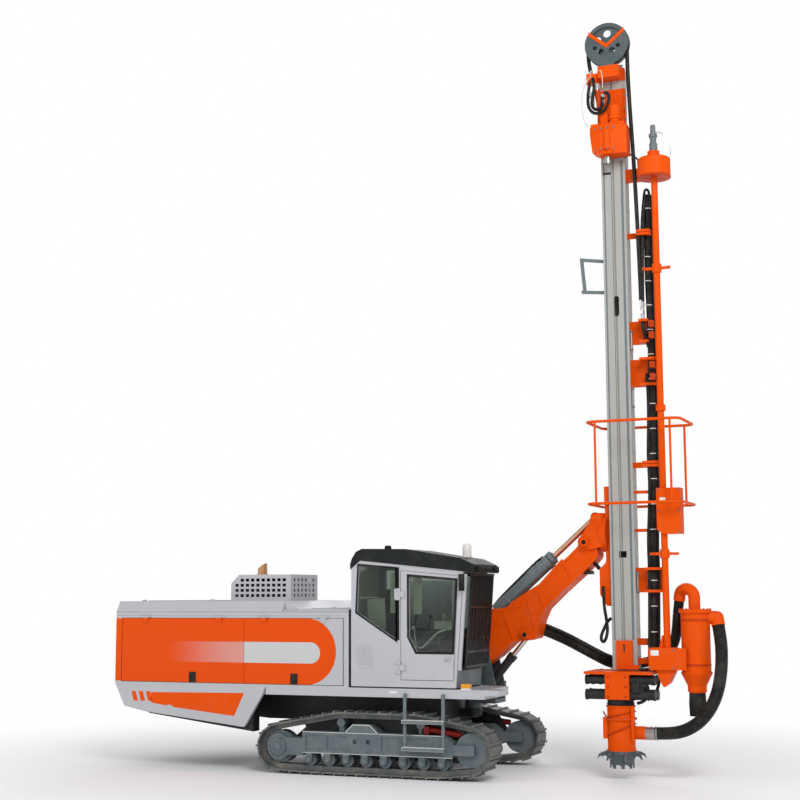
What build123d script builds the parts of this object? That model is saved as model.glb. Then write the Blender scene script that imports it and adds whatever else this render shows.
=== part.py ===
from build123d import *
import math
import os

# Crawler drilling rig for blast holes: a tracked carrier with an engine house, a cab beside
# the boom, and a long feed mast that carries the rotary head, rod handling and dust hood.
# X runs forward to the mast, Y to the machine's left, Z up from the ground, in millimetres.

# Gaps between pieces
moving_gap = 6.0
slide_gap = 0.5
seat_gap = 0.3

# Crawler tracks
gauge = 2100.0
shoe_width = 400.0
shoe_pitch = 172.0
shoe_thick = 16.0
shoe_split = 10.0
grouser_height = 26.0
grouser_thick = 18.0
chain_height = 74.0
chain_width = 190.0
sprocket_x = -1715.0
sprocket_z = 368.0
sprocket_reach = 235.0
idler_x = 1170.0
idler_z = 405.0
idler_reach = 240.0
carrier_radius = 62.0
carrier_xs = (-770.0, 430.0)
carrier_z = 722.0
roller_radius = 92.0
roller_count = 8
roller_first_x = -1240.0
roller_last_x = 760.0

# Side frames of the tracks
side_frame_rear_x = -1340.0
side_frame_front_x = 920.0
side_frame_low_z = 300.0
side_frame_top_z = 590.0
side_frame_width = 300.0
trunnion_x = -430.0
trunnion_top_z = 706.0
axle_radius = 105.0
axle_z = 500.0

# Chassis and platform
half_width = 1250.0
chassis_half_width = 560.0
chassis_low_z = 430.0
platform_low_z = 1092.0
platform_top_z = 1215.0
boom_deck_front_x = 480.0
cab_deck_front_x = 1400.0
nose_half_width = 130.0

# Engine house
house_rear_x = -4440.0
house_front_x = -600.0
house_roof_z = 2415.0
house_step_z = 2300.0
house_shoulder_z = 2255.0
shoulder_inset = 90.0
roof_step_x = -1650.0
roof_step_end_x = -1410.0
house_wall = 40.0
door_thick = 40.0
door_low_z = 1240.0
door_top_z = 2165.0
door_split_x = -2260.0
door_rear_x = -4330.0
door_front_x = -680.0
hinge_radius = 13.0
hinge_pin_radius = 6.0
hinge_length = 90.0

# Cab
cab_right_y = -half_width
cab_left_y = -250.0
cab_rear_x = -560.0
cab_floor_z = 1235.0
cab_wall = 50.0
cab_front_low_x = 1000.0
cab_front_top_x = 1120.0
cab_roof_rear_z = 2985.0
cab_roof_front_z = 2805.0
cab_door_rear_x = 195.0
cab_door_front_x = 965.0
cab_door_low_z = 1335.0
pane = 8.0

# Vertical plane in which boom and mast stand, and the boom's pins
boom_y = 200.0
swing_x = 720.0
foot_x = 930.0
foot_z = 1600.0
foot_boss_radius = 115.0
boom_half = 180.0
boom_flange = 38.0
panel_depth = 12.0
rib_width = 26.0
pin_radius = 45.0
pin_head_radius = 62.0
head_pin_x = 2490.0
head_pin_z = 3215.0
lift_base_x = 930.0
lift_base_z = 1142.0
lift_eye_x = 1579.0
lift_eye_z = 1904.0
lift_barrel_radius = 62.0
lift_rod_radius = 36.0
lift_barrel_length = 640.0
tilt_base_x = 1030.0
tilt_base_z = 2190.0
tilt_eye_x = 2605.0
tilt_eye_z = 3580.0
tilt_barrel_radius = 100.0
tilt_rod_radius = 42.0
tilt_barrel_length = 1190.0
eye_radius = 65.0
cap_length = 80.0
eye_half = 40.0
lug_thick = 30.0
lug_reach = 85.0

# Feed mast
mast_x = 3020.0
mast_side = 300.0
mast_low_z = 1445.0
mast_top_z = 10140.0
mast_wall = 14.0
rail_thick = 24.0
rail_reach = 25.0
back_rail_half = 90.0
back_web_half = 50.0
back_rail_low_z = 1500.0
back_rail_top_z = 5600.0
groove_half = 12.0
slot_z = 6570.0
window_z = 3040.0
drill_x = mast_x - 30.0
drill_y = -150.0

# Cradle that the mast slides in, and the joint that leans it sideways
cradle_low_z = 2366.0
cradle_top_z = 4000.0
cradle_thick = 70.0
lean_z = 3330.0
lean_radius = 250.0

# Rotary head and hose wheel
head_low_z = 8735.0
head_deck_z = 9200.0
head_top_z = 9770.0
spindle_low_z = 8618.0
spindle_radius = 57.0
spindle_pin = 100.0
head_travel = 6300.0
sled_low_z = 9905.0
sled_top_z = 10078.0
wheel_x = 3020.0
wheel_z = 10408.0
wheel_radius = 318.0
wheel_half = 45.0
wheel_y = -130.0
axle_pin_radius = 25.0

# Dust hood, foot and cyclone
hood_radius = 188.0
hood_wall = 8.0
hood_low_z = 380.0
hood_top_z = 985.0
coupling_z = 622.0
foot_low_z = 150.0
table_z = 1440.0
table_thick = 35.0
guide_radius = 90.0
jaw_low_z = 1070.0
cyclone_x = 4025.0
cyclone_y = -60.0
cyclone_radius = 195.0
cyclone_low_z = 1446.0
cyclone_top_z = 2285.0
hose_radius = 88.0
suction_radius = 72.0

# Rod changer
changer_x = 3650.0
changer_y = -130.0
changer_tube_radius = 46.0
changer_low_z = 1500.0
changer_top_z = 8650.0
gripper_reach = 192.0
cup_radius = 232.0
cup_low_z = 8345.0
cup_shoulder_z = 8600.0
cup_top_z = 8725.0

os.makedirs("parts", exist_ok=True)


def box(x, y, z):
    """A block between two corners, each axis given as (low, high)."""
    size = [high - low for low, high in (x, y, z)]
    middle = [(low + high) / 2 for low, high in (x, y, z)]
    return Pos(*middle) * Box(*size)


def face_from(points):
    return make_face(Polyline(*points, close=True))


def slab_x(points, x):
    """An outline of (y, z) points, as thick as the x range."""
    return extrude(face_from([(x[0], py, pz) for py, pz in points]), x[1] - x[0], (1, 0, 0))


def slab_y(points, y):
    """An outline of (x, z) points, as thick as the y range."""
    return extrude(face_from([(px, y[0], pz) for px, pz in points]), y[1] - y[0], (0, 1, 0))


def slab_z(points, z):
    """An outline of (x, y) points, as thick as the z range."""
    return extrude(face_from([(px, py, z[0]) for px, py in points]), z[1] - z[0], (0, 0, 1))


def rod(start, end, radius, bore=0.0):
    """A round bar or tube between two points."""
    way = Vector(*end) - Vector(*start)
    shape = Cylinder(radius, way.length, align=(Align.CENTER, Align.CENTER, Align.MIN))
    if bore:
        shape -= Cylinder(bore, way.length, align=(Align.CENTER, Align.CENTER, Align.MIN))
    return Plane(origin=start, z_dir=way) * shape


def turned(x, y, profile):
    """A solid turned about a vertical line, from (radius, z) points."""
    face = face_from([(r, 0, z) for r, z in profile])
    return Pos(x, y, 0) * revolve(face, Axis.Z)


def hose(route, radius):
    """A round hose through the points of its route, with arcs as large as its runs allow."""
    points = [Vector(*p) for p in route]
    radii = []
    for before, here, after in zip(points, points[1:], points[2:]):
        turn = math.radians((here - before).get_angle(after - here))
        shorter = min((here - before).length, (after - here).length)
        radii.append(0.45 * shorter / math.tan(turn / 2))
    path = FilletPolyline(*points, radius=radii)
    start = Plane(origin=path @ 0, z_dir=path % 0)
    return sweep(start * Circle(radius), path=path), radii


def keep(name, *shapes):
    export_step(Compound(children=list(shapes)) if len(shapes) > 1 else shapes[0],
                f"parts/{name}.step")


# Track: the shoe line is wrapped round the wheels as one closed loop with a profile per shoe
shoe_base = chain_height
roller_z = grouser_height + shoe_thick + chain_height + roller_radius
track_wheels = [
    # x, z, radius that the chain rests on, in order round the loop seen with X to the right
    (sprocket_x, sprocket_z, sprocket_reach),
    (carrier_xs[0], carrier_z, carrier_radius),
    (carrier_xs[1], carrier_z, carrier_radius),
    (idler_x, idler_z, idler_reach),
    (roller_last_x, roller_z, roller_radius),
    (roller_first_x, roller_z, roller_radius),
]


def wrap(wheels, offset):
    """Straight runs and arcs of a belt that lies offset outside the wheels, clockwise."""
    runs = []
    for here, after in zip(wheels, wheels[1:] + wheels[:1]):
        dx, dz = after[0] - here[0], after[1] - here[1]
        lean = math.asin((here[2] - after[2]) / math.hypot(dx, dz))
        out = math.atan2(dz, dx) + math.pi / 2 - lean
        side = (math.cos(out), math.sin(out))
        start = [here[i] + (here[2] + offset) * side[i] for i in (0, 1)]
        end = [after[i] + (after[2] + offset) * side[i] for i in (0, 1)]
        runs.append((start, end, out))
    pieces = []
    for wheel, (start, end, out), (_, _, before) in zip(wheels, runs, runs[-1:] + runs[:-1]):
        turn = (before - out) % (2 * math.pi)
        pieces.append(("arc", wheel, before, turn, (wheel[2] + offset) * turn))
        pieces.append(("line", start, end, out, math.dist(start, end)))
    return pieces


def on_belt(pieces, place):
    """Point and outward angle at a distance along the belt."""
    place %= sum(piece[4] for piece in pieces)
    for piece in pieces:
        if place <= piece[4]:
            break
        place -= piece[4]
    share = place / piece[4]
    if piece[0] == "arc":
        _, wheel, before, turn, length = piece
        out = before - turn * share
        reach = length / turn
        return wheel[0] + reach * math.cos(out), wheel[1] + reach * math.sin(out), out
    _, start, end, out, _ = piece
    return start[0] + share * (end[0] - start[0]), start[1] + share * (end[1] - start[1]), out


belt = wrap(track_wheels, shoe_base)
belt_length = sum(piece[4] for piece in belt)
shoe_count = round(belt_length / shoe_pitch)
real_pitch = belt_length / shoe_count
shoe_outline = []
shoe_inside = []
chain_outside = []
chain_inside = []
for index in range(shoe_count):
    ax, az, out_a = on_belt(belt, index * real_pitch)
    bx, bz, out_b = on_belt(belt, index * real_pitch + real_pitch - shoe_split)
    length = math.dist((ax, az), (bx, bz))
    along = ((bx - ax) / length, (bz - az) / length)
    outward = (-along[1], along[0])
    for run, rise in [
        # distance along the shoe, height above its base
        (0, 0),
        (0, shoe_thick),
        (length - 2.2 * grouser_thick, shoe_thick),
        (length - 1.8 * grouser_thick, shoe_thick + grouser_height),
        (length - 0.9 * grouser_thick, shoe_thick + grouser_height),
        (length - 0.5 * grouser_thick, shoe_thick),
        (length, shoe_thick),
        (length, 0),
    ]:
        shoe_outline.append((ax + along[0] * run + outward[0] * rise,
                             az + along[1] * run + outward[1] * rise))
    for line, depth in ((shoe_inside, 8.0), (chain_outside, 4.0), (chain_inside, chain_height)):
        line.append((ax - depth * math.cos(out_a), az - depth * math.sin(out_a)))



def room(x, z):
    """Radius of the largest wheel about a centre that the chain leaves room for."""
    here = Vector(x, z)
    nearest = []
    for start, end in zip(chain_inside, chain_inside[1:] + chain_inside[:1]):
        start, way = Vector(*start), Vector(*end) - Vector(*start)
        share = min(1.0, max(0.0, (here - start).dot(way) / way.dot(way)))
        nearest.append((start + way * share - here).length)
    return min(nearest) - seat_gap


for side_name, side in (("right", -1), ("left", 1)):
    middle = side * gauge / 2
    shoes = (middle - shoe_width / 2, middle + shoe_width / 2)
    chain = (middle - chain_width / 2, middle + chain_width / 2)
    loop = slab_y(shoe_outline, shoes) - slab_y(shoe_inside, shoes)
    loop += slab_y(chain_outside, chain) - slab_y(chain_inside, chain)
    keep(f"track_{side_name}", loop)

    outer_y = middle + side * side_frame_width / 2
    inner_y = middle - side * side_frame_width / 2
    across = (min(outer_y, inner_y), max(outer_y, inner_y))
    frame = slab_y([
        (side_frame_rear_x, side_frame_low_z),
        (side_frame_front_x, side_frame_low_z),
        (side_frame_front_x, side_frame_top_z - 90),
        (side_frame_front_x - 120, side_frame_top_z),
        (trunnion_x + 260, side_frame_top_z),
        (trunnion_x + 130, trunnion_top_z),
        (trunnion_x - 130, trunnion_top_z),
        (trunnion_x - 260, side_frame_top_z),
        (side_frame_rear_x, side_frame_top_z),
    ], across)
    wheel_span = (middle - chain_width / 2 + 10, middle + chain_width / 2 - 10)
    for number in range(roller_count):
        step = (roller_last_x - roller_first_x) / (roller_count - 1)
        x = roller_first_x + number * step
        frame += rod((x, wheel_span[0], roller_z), (x, wheel_span[1], roller_z),
                     min(roller_radius - seat_gap, room(x, roller_z)))
        frame += box((x - 45, x + 45), across, (roller_z - 30, side_frame_low_z + 10))
    panels = ((-1290, -1000), (-960, -650), (-130, 190), (230, 560))
    for low, high in panels:
        frame -= box((low, high), sorted((outer_y - side * 14, outer_y + side)), (345, 545))
    for low, high in ((-560, -500), (-360, -300)):
        frame -= box((low, high), sorted((outer_y - side * 40, outer_y + side)), (440, 500))
    for x in carrier_xs:
        frame += rod((x, wheel_span[0], carrier_z), (x, wheel_span[1], carrier_z),
                     room(x, carrier_z))
        frame += box((x - 35, x + 35), (middle - 60, middle + 60), (side_frame_top_z - 10, carrier_z))
    frame += rod((idler_x, wheel_span[0], idler_z), (idler_x, wheel_span[1], idler_z),
                 room(idler_x, idler_z))
    frame += box((side_frame_front_x - 10, idler_x + 60), across, (idler_z - 70, idler_z + 70))
    frame += rod((sprocket_x, wheel_span[0], sprocket_z), (sprocket_x, wheel_span[1], sprocket_z),
                 room(sprocket_x, sprocket_z))
    frame += rod((sprocket_x, across[0], sprocket_z), (sprocket_x, across[1], sprocket_z), 180)
    frame += rod((sprocket_x, middle, sprocket_z), (sprocket_x, outer_y + side * 22, sprocket_z), 118)
    frame += box((sprocket_x, side_frame_rear_x + 10), across,
                 (sprocket_z - 110, sprocket_z + 130))
    axle_in = side * (chassis_half_width + seat_gap)
    frame += rod((trunnion_x, inner_y, axle_z), (trunnion_x, axle_in, axle_z), axle_radius)
    keep(f"track_frame_{side_name}", frame)

# Chassis: belly box between the tracks, platform under house and cab, nose for the boom
skirt_thick = 60.0
skirt_front_x = -1900.0
deck_half = half_width - skirt_thick - seat_gap
deck = slab_z([
    (house_rear_x + 60, -deck_half),
    (skirt_front_x, -deck_half),
    (skirt_front_x, -half_width),
    (cab_deck_front_x, -half_width),
    (cab_deck_front_x, cab_left_y + 30),
    (boom_deck_front_x, cab_left_y + 30),
    (boom_deck_front_x, half_width),
    (skirt_front_x, half_width),
    (skirt_front_x, deck_half),
    (house_rear_x + 60, deck_half),
], (platform_low_z, platform_top_z))
step_lip = slab_y([
    (cab_deck_front_x - 1, 1135),
    (1610, 1152),
    (1610, 1214),
    (cab_deck_front_x - 1, platform_top_z),
], (-half_width, -half_width + 330))
deck += step_lip
belly = slab_y([
    (-1900, platform_low_z + 10),
    (-1500, chassis_low_z),
    (450, chassis_low_z),
    (560, 640),
    (560, platform_low_z + 10),
], (-chassis_half_width, chassis_half_width))
tail = slab_y([
    (house_rear_x + 150, platform_low_z + 10),
    (house_rear_x + 260, 880),
    (-2200, 700),
    (-1700, 700),
    (-1700, platform_low_z + 10),
], (-chassis_half_width, chassis_half_width))
nose_y = (boom_y - nose_half_width, boom_y + nose_half_width)
nose = box((400, swing_x), nose_y, (760, 860)) + box((400, swing_x), nose_y, (1330, 1400))
nose += rod((swing_x, boom_y, 760), (swing_x, boom_y, 860), nose_half_width)
nose += rod((swing_x, boom_y, 1330), (swing_x, boom_y, 1400), nose_half_width)
nose += box((400, boom_deck_front_x), nose_y, (760, 1400))
main_frame = deck + belly + tail + nose
main_frame -= rod((swing_x, boom_y, 700), (swing_x, boom_y, 1450), 70 + slide_gap)
keep("main_frame", main_frame)

# Swing bracket: fork on the king pin, its cheeks hold the boom's foot and the lift cylinder
bracket_plate_z = (1400.0 + moving_gap, 1460.0)
bracket_low_z = 950.0
bracket_front_x = swing_x + 420
bracket = rod((swing_x, boom_y, 740), (swing_x, boom_y, 1420), 70)
bracket += rod((swing_x, boom_y, 860 + moving_gap), (swing_x, boom_y, 1330 - moving_gap), 115)
cheek_in = boom_half + moving_gap
cheek_out = cheek_in + 40
bracket += box((swing_x + 20, bracket_front_x), (boom_y - cheek_out, boom_y + cheek_out),
               (bracket_low_z, bracket_low_z + 60))
for side in (-1, 1):
    cheek = slab_y([
        (swing_x - 60, bracket_plate_z[1]),
        (swing_x - 60, bracket_plate_z[0]),
        (swing_x + 20, bracket_plate_z[0]),
        (swing_x + 20, bracket_low_z),
        (bracket_front_x, bracket_low_z),
        (bracket_front_x, 1180),
        (foot_x + 110, foot_z + 70),
        (foot_x + 50, foot_z + 130),
        (foot_x - 50, foot_z + 130),
        (foot_x - 110, foot_z + 70),
    ], sorted((boom_y + side * cheek_in, boom_y + side * cheek_out)))
    bracket += cheek
    bracket += rod((foot_x, boom_y + side * cheek_in, foot_z),
                   (foot_x, boom_y + side * (cheek_out + 18), foot_z), pin_head_radius)
bracket += box((swing_x - 60, swing_x + 200), (boom_y - cheek_out, boom_y + cheek_out),
               bracket_plate_z)
bracket += rod((foot_x, boom_y - cheek_out, foot_z), (foot_x, boom_y + cheek_out, foot_z), pin_radius)
lift_lugs = (eye_half + moving_gap, eye_half + moving_gap + lug_thick)
for side in (-1, 1):
    lug_y = sorted(boom_y + side * reach for reach in lift_lugs)
    bracket += slab_y([
        (lift_base_x - 90, bracket_low_z + 50),
        (lift_base_x + 90, bracket_low_z + 50),
        (lift_base_x + 75, lift_base_z + 40),
        (lift_base_x - 75, lift_base_z + 40),
    ], lug_y)
bracket += rod((lift_base_x, boom_y - lift_lugs[1] - 12, lift_base_z),
               (lift_base_x, boom_y + lift_lugs[1] + 12, lift_base_z), pin_radius - 10)
keep("swing_bracket", bracket)

# Boom: bent box section whose side plates stand proud along their edges and ribs
boom_outline = [
    # x, z of the side plate, from the foot along the underside to the head and back over the top
    (foot_x + 75, foot_z - 87),
    (1148, 1604),
    (1403, 1827),
    (1596, 1838),
    (1734, 1872),
    (1805, 2130),
    (1878, 2284),
    (2126, 2517),
    (2456, 2800),
    (2640, 2985),
    (2660, 3025),
    (2656, 3120),
    (head_pin_x + 60, head_pin_z + 100),
    (head_pin_x - 60, head_pin_z + 100),
    (2421 - 40, 3165),
    (2245, 3034),
    (1996, 2833),
    (1815, 2648),
    (1493, 2350),
    (1200, 2290),
    (foot_x + 30, 2290),
    (foot_x - 60, 2230),
    (foot_x - 113, foot_z + 20),
]
boom = slab_y(boom_outline, (boom_y - boom_half, boom_y + boom_half))
boom += rod((foot_x, boom_y - boom_half, foot_z), (foot_x, boom_y + boom_half, foot_z), foot_boss_radius)
panel = offset(face_from([(x, 0, z) for x, z in boom_outline]), -boom_flange)
boom_ribs = [
    # x and z at the rib's lower end, then at its upper end
    (1420, 1780, 1230, 2330),
    (1760, 1850, 1600, 2480),
    (1900, 2240, 1740, 2640),
    (2330, 2640, 2120, 2990),
]
for side in (-1, 1):
    recess = extrude(panel, panel_depth, (0, -side, 0))
    for low_x, low_z, high_x, high_z in boom_ribs:
        recess -= slab_y([
            (low_x - rib_width / 2, low_z),
            (low_x + rib_width / 2, low_z),
            (high_x + rib_width / 2, high_z),
            (high_x - rib_width / 2, high_z),
        ], sorted((0, -side * (panel_depth + 1))))
    for x, z, radius in ((lift_eye_x, lift_eye_z, 95), (head_pin_x, head_pin_z, 150),
                         (foot_x, foot_z, foot_boss_radius + 20), (tilt_base_x, tilt_base_z, 90)):
        recess -= rod((x, -60, z), (x, 60, z), radius)
    boom -= Pos(0, boom_y + side * boom_half, 0) * recess
    boom += rod((lift_eye_x, boom_y + side * boom_half, lift_eye_z),
                (lift_eye_x, boom_y + side * (boom_half + 14), lift_eye_z), pin_head_radius)
boom -= rod((foot_x, boom_y - 300, foot_z), (foot_x, boom_y + 300, foot_z), pin_radius + slide_gap)
# slot below for the lift cylinder's eye, with the pin's bore through it
boom -= slab_y([
    (lift_eye_x - 290, 1600),
    (lift_eye_x - 110, lift_eye_z + 85),
    (lift_eye_x + 90, lift_eye_z + 85),
    (lift_eye_x + 90, 1600),
], (boom_y - lift_lugs[0], boom_y + lift_lugs[0]))
# channel above for the tilt cylinder's barrel, with two lugs that hold its pin
tilt_way = (Vector(tilt_eye_x, 0, tilt_eye_z) - Vector(tilt_base_x, 0, tilt_base_z)).normalized()
tilt_side = Vector(-tilt_way.Z, 0, tilt_way.X)


def by_tilt(along, aside):
    """Point (x, z) given along and square to the tilt cylinder, from its base pin."""
    at = tilt_way * along + tilt_side * aside
    return tilt_base_x + at.X, tilt_base_z + at.Z


channel = [by_tilt(-150, -118), by_tilt(950, -150), by_tilt(950, 400), by_tilt(-150, 400)]
channel_half = tilt_barrel_radius + 14
boom -= slab_y(channel, (boom_y - channel_half, boom_y + channel_half))
for side in (-1, 1):
    boom += slab_y([by_tilt(-70, -140), by_tilt(85, -140), by_tilt(70, 40), by_tilt(20, 66),
                    by_tilt(-20, 66), by_tilt(-70, 30)],
                   sorted(boom_y + side * reach for reach in lift_lugs))
boom += rod((tilt_base_x, boom_y - lift_lugs[1] - 12, tilt_base_z),
            (tilt_base_x, boom_y + lift_lugs[1] + 12, tilt_base_z), pin_radius - 10)
boom += rod((head_pin_x, boom_y - boom_half - 62, head_pin_z),
            (head_pin_x, boom_y + boom_half + 62, head_pin_z), pin_radius)
keep("boom", boom)


def cylinder(name, base, eye, barrel_radius, rod_radius, barrel_length):
    """A hydraulic cylinder between two pins: a barrel with its eye, and a rod with its own."""
    base_at, eye_at = Vector(base[0], boom_y, base[1]), Vector(eye[0], boom_y, eye[1])
    way = (eye_at - base_at).normalized()
    across = Vector(0, eye_half, 0)
    barrel = rod(base_at - across, base_at + across, eye_radius)
    barrel += rod(base_at + way * 20, base_at + way * (lug_reach + 50), eye_half - 2)
    barrel += rod(base_at + way * (lug_reach + 20), base_at + way * barrel_length, barrel_radius)
    barrel += rod(base_at + way * (barrel_length - cap_length), base_at + way * barrel_length,
                  barrel_radius + 8)
    barrel += rod(base_at + way * (lug_reach + 20), base_at + way * (lug_reach + 60),
                  barrel_radius + 6)
    barrel -= rod(base_at + way * (lug_reach + 60), base_at + way * (barrel_length + 1),
                  rod_radius + slide_gap)
    barrel -= rod(base_at - across * 2, base_at + across * 2, pin_radius - 10 + slide_gap)
    keep(f"{name}_cylinder_barrel", barrel)
    length = (eye_at - base_at).length
    piston = rod(base_at + way * (barrel_length - 90), base_at + way * (length - eye_radius + 20),
                 rod_radius)
    piston += rod(eye_at - across, eye_at + across, eye_radius)
    keep(f"{name}_cylinder_rod", piston)


cylinder("lift", (lift_base_x, lift_base_z), (lift_eye_x, lift_eye_z),
         lift_barrel_radius, lift_rod_radius, lift_barrel_length)
cylinder("tilt", (tilt_base_x, tilt_base_z), (tilt_eye_x, tilt_eye_z),
         tilt_barrel_radius, tilt_rod_radius, tilt_barrel_length)

# Feed holder: fork over the boom's head, with lugs for the tilt cylinder and a turning flange
flange_x = 2740.0
fork_in = boom_half + moving_gap
fork_out = fork_in + 30
fork_top_z = lean_z + 270
holder = Part()
for side in (-1, 1):
    fork_y = sorted((boom_y + side * fork_in, boom_y + side * fork_out))
    holder += slab_y([
        (head_pin_x - 30, head_pin_z - 90),
        (head_pin_x + 90, head_pin_z - 100),
        (flange_x, lean_z - 180),
        (flange_x, fork_top_z),
        (flange_x - 135, fork_top_z),
        (head_pin_x + 60, head_pin_z + 250),
        (head_pin_x - 60, head_pin_z + 80),
    ], fork_y)
    holder += rod((head_pin_x, fork_y[0], head_pin_z), (head_pin_x, fork_y[1], head_pin_z), 100)
    holder -= slab_y([
        (flange_x - 110, lean_z + 60),
        (flange_x - 50, lean_z + 60),
        (flange_x - 50, fork_top_z - 60),
        (flange_x - 110, fork_top_z - 60),
    ], (boom_y + side * fork_out - 8, boom_y + side * fork_out + 8))
holder -= rod((head_pin_x, boom_y - 400, head_pin_z), (head_pin_x, boom_y + 400, head_pin_z),
              pin_radius + slide_gap)
holder += box((flange_x - 40, flange_x), (boom_y - fork_out, boom_y + fork_out),
              (lean_z - 180, lean_z + 190))
holder += rod((flange_x - 40, boom_y, lean_z), (flange_x, boom_y, lean_z), lean_radius)
holder += rod((flange_x, boom_y, lean_z), (flange_x + 40, boom_y, lean_z), 90)
holder -= box((tilt_eye_x - 300, flange_x - 8), (boom_y - lift_lugs[0], boom_y + lift_lugs[0]),
              (tilt_eye_z - 120, tilt_eye_z + 300))
for side in (-1, 1):
    lug_y = sorted(boom_y + side * reach for reach in lift_lugs)
    holder += slab_y([
        (flange_x, lean_z + 60),
        (flange_x, tilt_eye_z + 50),
        (tilt_eye_x - 35, tilt_eye_z + 55),
        (tilt_eye_x - 62, tilt_eye_z + 10),
        (tilt_eye_x - 55, tilt_eye_z - 45),
        (flange_x - 60, lean_z + 60),
    ], lug_y)
    holder += rod((tilt_eye_x, lug_y[0] - 12 * (side < 0), tilt_eye_z),
                  (tilt_eye_x, lug_y[1] + 12 * (side > 0), tilt_eye_z), pin_radius - 10)
keep("feed_holder", holder)

# Cradle: turns on the holder's flange and grips the mast's back rail with three shoes
cradle_x = flange_x + slide_gap
mast_half = mast_side / 2
rail_half = mast_half + rail_reach
mast_side_y = boom_y - mast_half
back_rail_x = mast_x - mast_half - 2 * rail_thick
cradle_front_x = back_rail_x - slide_gap
hook_x = back_rail_x + rail_thick + slide_gap
cradle = rod((cradle_x, boom_y, lean_z), (cradle_x + 50, boom_y, lean_z), lean_radius)
cradle += box((cradle_x + 20, cradle_front_x), (boom_y - back_rail_half, boom_y + back_rail_half),
              (cradle_low_z, cradle_top_z))
cradle_housing = [
    # x, z of the lower shoes' housing, chamfered on its rear corners
    (2672, 2837),
    (2778, 2945),
    (cradle_front_x, 2945),
    (cradle_front_x, 2325),
    (2770, 2325),
    (2672, 2490),
]
cradle += slab_y(cradle_housing, (boom_y - back_rail_half - 30, boom_y + back_rail_half + 30))
shoe_height = 260.0
for low in (cradle_low_z, 2945 - shoe_height, cradle_top_z - shoe_height):
    for side in (-1, 1):
        cradle += box((cradle_x + 20, hook_x + 18),
                      sorted((boom_y + side * (back_rail_half + slide_gap),
                              boom_y + side * (back_rail_half + 30))), (low, low + shoe_height))
        cradle += box((hook_x, hook_x + 18),
                      sorted((boom_y + side * (back_web_half + 10),
                              boom_y + side * (back_rail_half + 30))), (low, low + shoe_height))
        cradle += box((cradle_x + 20, cradle_front_x),
                      sorted((boom_y, boom_y + side * (back_rail_half + 30))), (low, low + shoe_height))
cradle -= rod((cradle_x - 1, boom_y, lean_z), (cradle_x + 45, boom_y, lean_z), 90 + slide_gap)
keep("feed_cradle", cradle)

# Mast: hollow beam with a rail behind for the cradle and two at its side for the rotary head
mast = box((mast_x - mast_half, mast_x + mast_half), (boom_y - mast_half, boom_y + mast_half),
           (mast_low_z, mast_top_z))
mast -= box((mast_x - mast_half + mast_wall, mast_x + mast_half - mast_wall),
            (boom_y - mast_half + mast_wall, boom_y + mast_half - mast_wall),
            (mast_low_z - 1, mast_top_z + 1))
mast += box((back_rail_x, back_rail_x + rail_thick), (boom_y - back_rail_half, boom_y + back_rail_half),
            (back_rail_low_z, back_rail_top_z))
mast += box((back_rail_x, mast_x - mast_half), (boom_y - back_web_half, boom_y + back_web_half),
            (back_rail_low_z, back_rail_top_z))
for side in (-1, 1):
    rail_x = sorted((mast_x + side * rail_half, mast_x + side * groove_half))
    mast += box(rail_x, (mast_side_y - rail_thick, mast_side_y), (mast_low_z, mast_top_z))
slot_cut = Pos(mast_x, 0, slot_z) * Rot(90, 0, 0) * SlotCenterToCenter(220, 80, rotation=90)
mast -= Pos(0, mast_side_y + mast_wall + 1, 0) * extrude(slot_cut, rail_thick + mast_wall + 2, (0, -1, 0))
mast -= box((mast_x - 50, mast_x + 60), (mast_side_y - rail_thick - 1, mast_side_y + mast_wall + 1),
            (window_z - 45, window_z + 45))
keep("mast_beam", mast)

# Lower guide on the near face, with its slot, and the frame that holds cables behind the mast
guide_y = (mast_side_y - rail_thick - seat_gap - 40, mast_side_y - rail_thick - seat_gap)
guide = box((mast_x - 112, mast_x + 116), guide_y, (1462, 1852))
guide -= box((mast_x - 14, mast_x + 14), (guide_y[0] - 1, guide_y[1] + 1), (1690, 1800))
guide += box((mast_x + 116, mast_x + mast_half + 60), (guide_y[0], guide_y[0] + 20), (1462, 1520))
keep("mast_guide", guide)
frame_bar = 22.0
hose_frame = Part()
for z_mast, z_rear in ((7266, 7330), (6809, 6850)):
    hose_frame += slab_y([
        (mast_x - mast_half - seat_gap, z_mast - frame_bar),
        (mast_x - mast_half - seat_gap, z_mast + frame_bar),
        (2470, z_rear + frame_bar),
        (2470, z_rear - frame_bar),
    ], (boom_y - frame_bar, boom_y + frame_bar))
hose_frame += slab_y([
    (2452, 7350),
    (2496, 7350),
    (2540, 6830),
    (2496, 6830),
], (boom_y - frame_bar, boom_y + frame_bar))
keep("mast_hose_frame", hose_frame)

# Rotary head: carriage on the mast's side rails, gearbox, motors and spindle on the drill line
head_y = mast_side_y - rail_thick - slide_gap


def carriage(low, top):
    plate = box((mast_x - rail_half - 30, mast_x + rail_half + 30), (head_y - 25, head_y), (low, top))
    for side in (-1, 1):
        outer = sorted((mast_x + side * (rail_half + slide_gap), mast_x + side * (rail_half + 30)))
        inner = sorted((mast_x + side * (mast_half + 5), mast_x + side * (rail_half + 30)))
        plate += box(outer, (head_y - 1, mast_side_y + 2 * slide_gap + 18), (low, top))
        plate += box(inner, (mast_side_y + slide_gap, mast_side_y + slide_gap + 18), (low, top))
    return plate


head = carriage(head_deck_z - 10, head_top_z)
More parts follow.
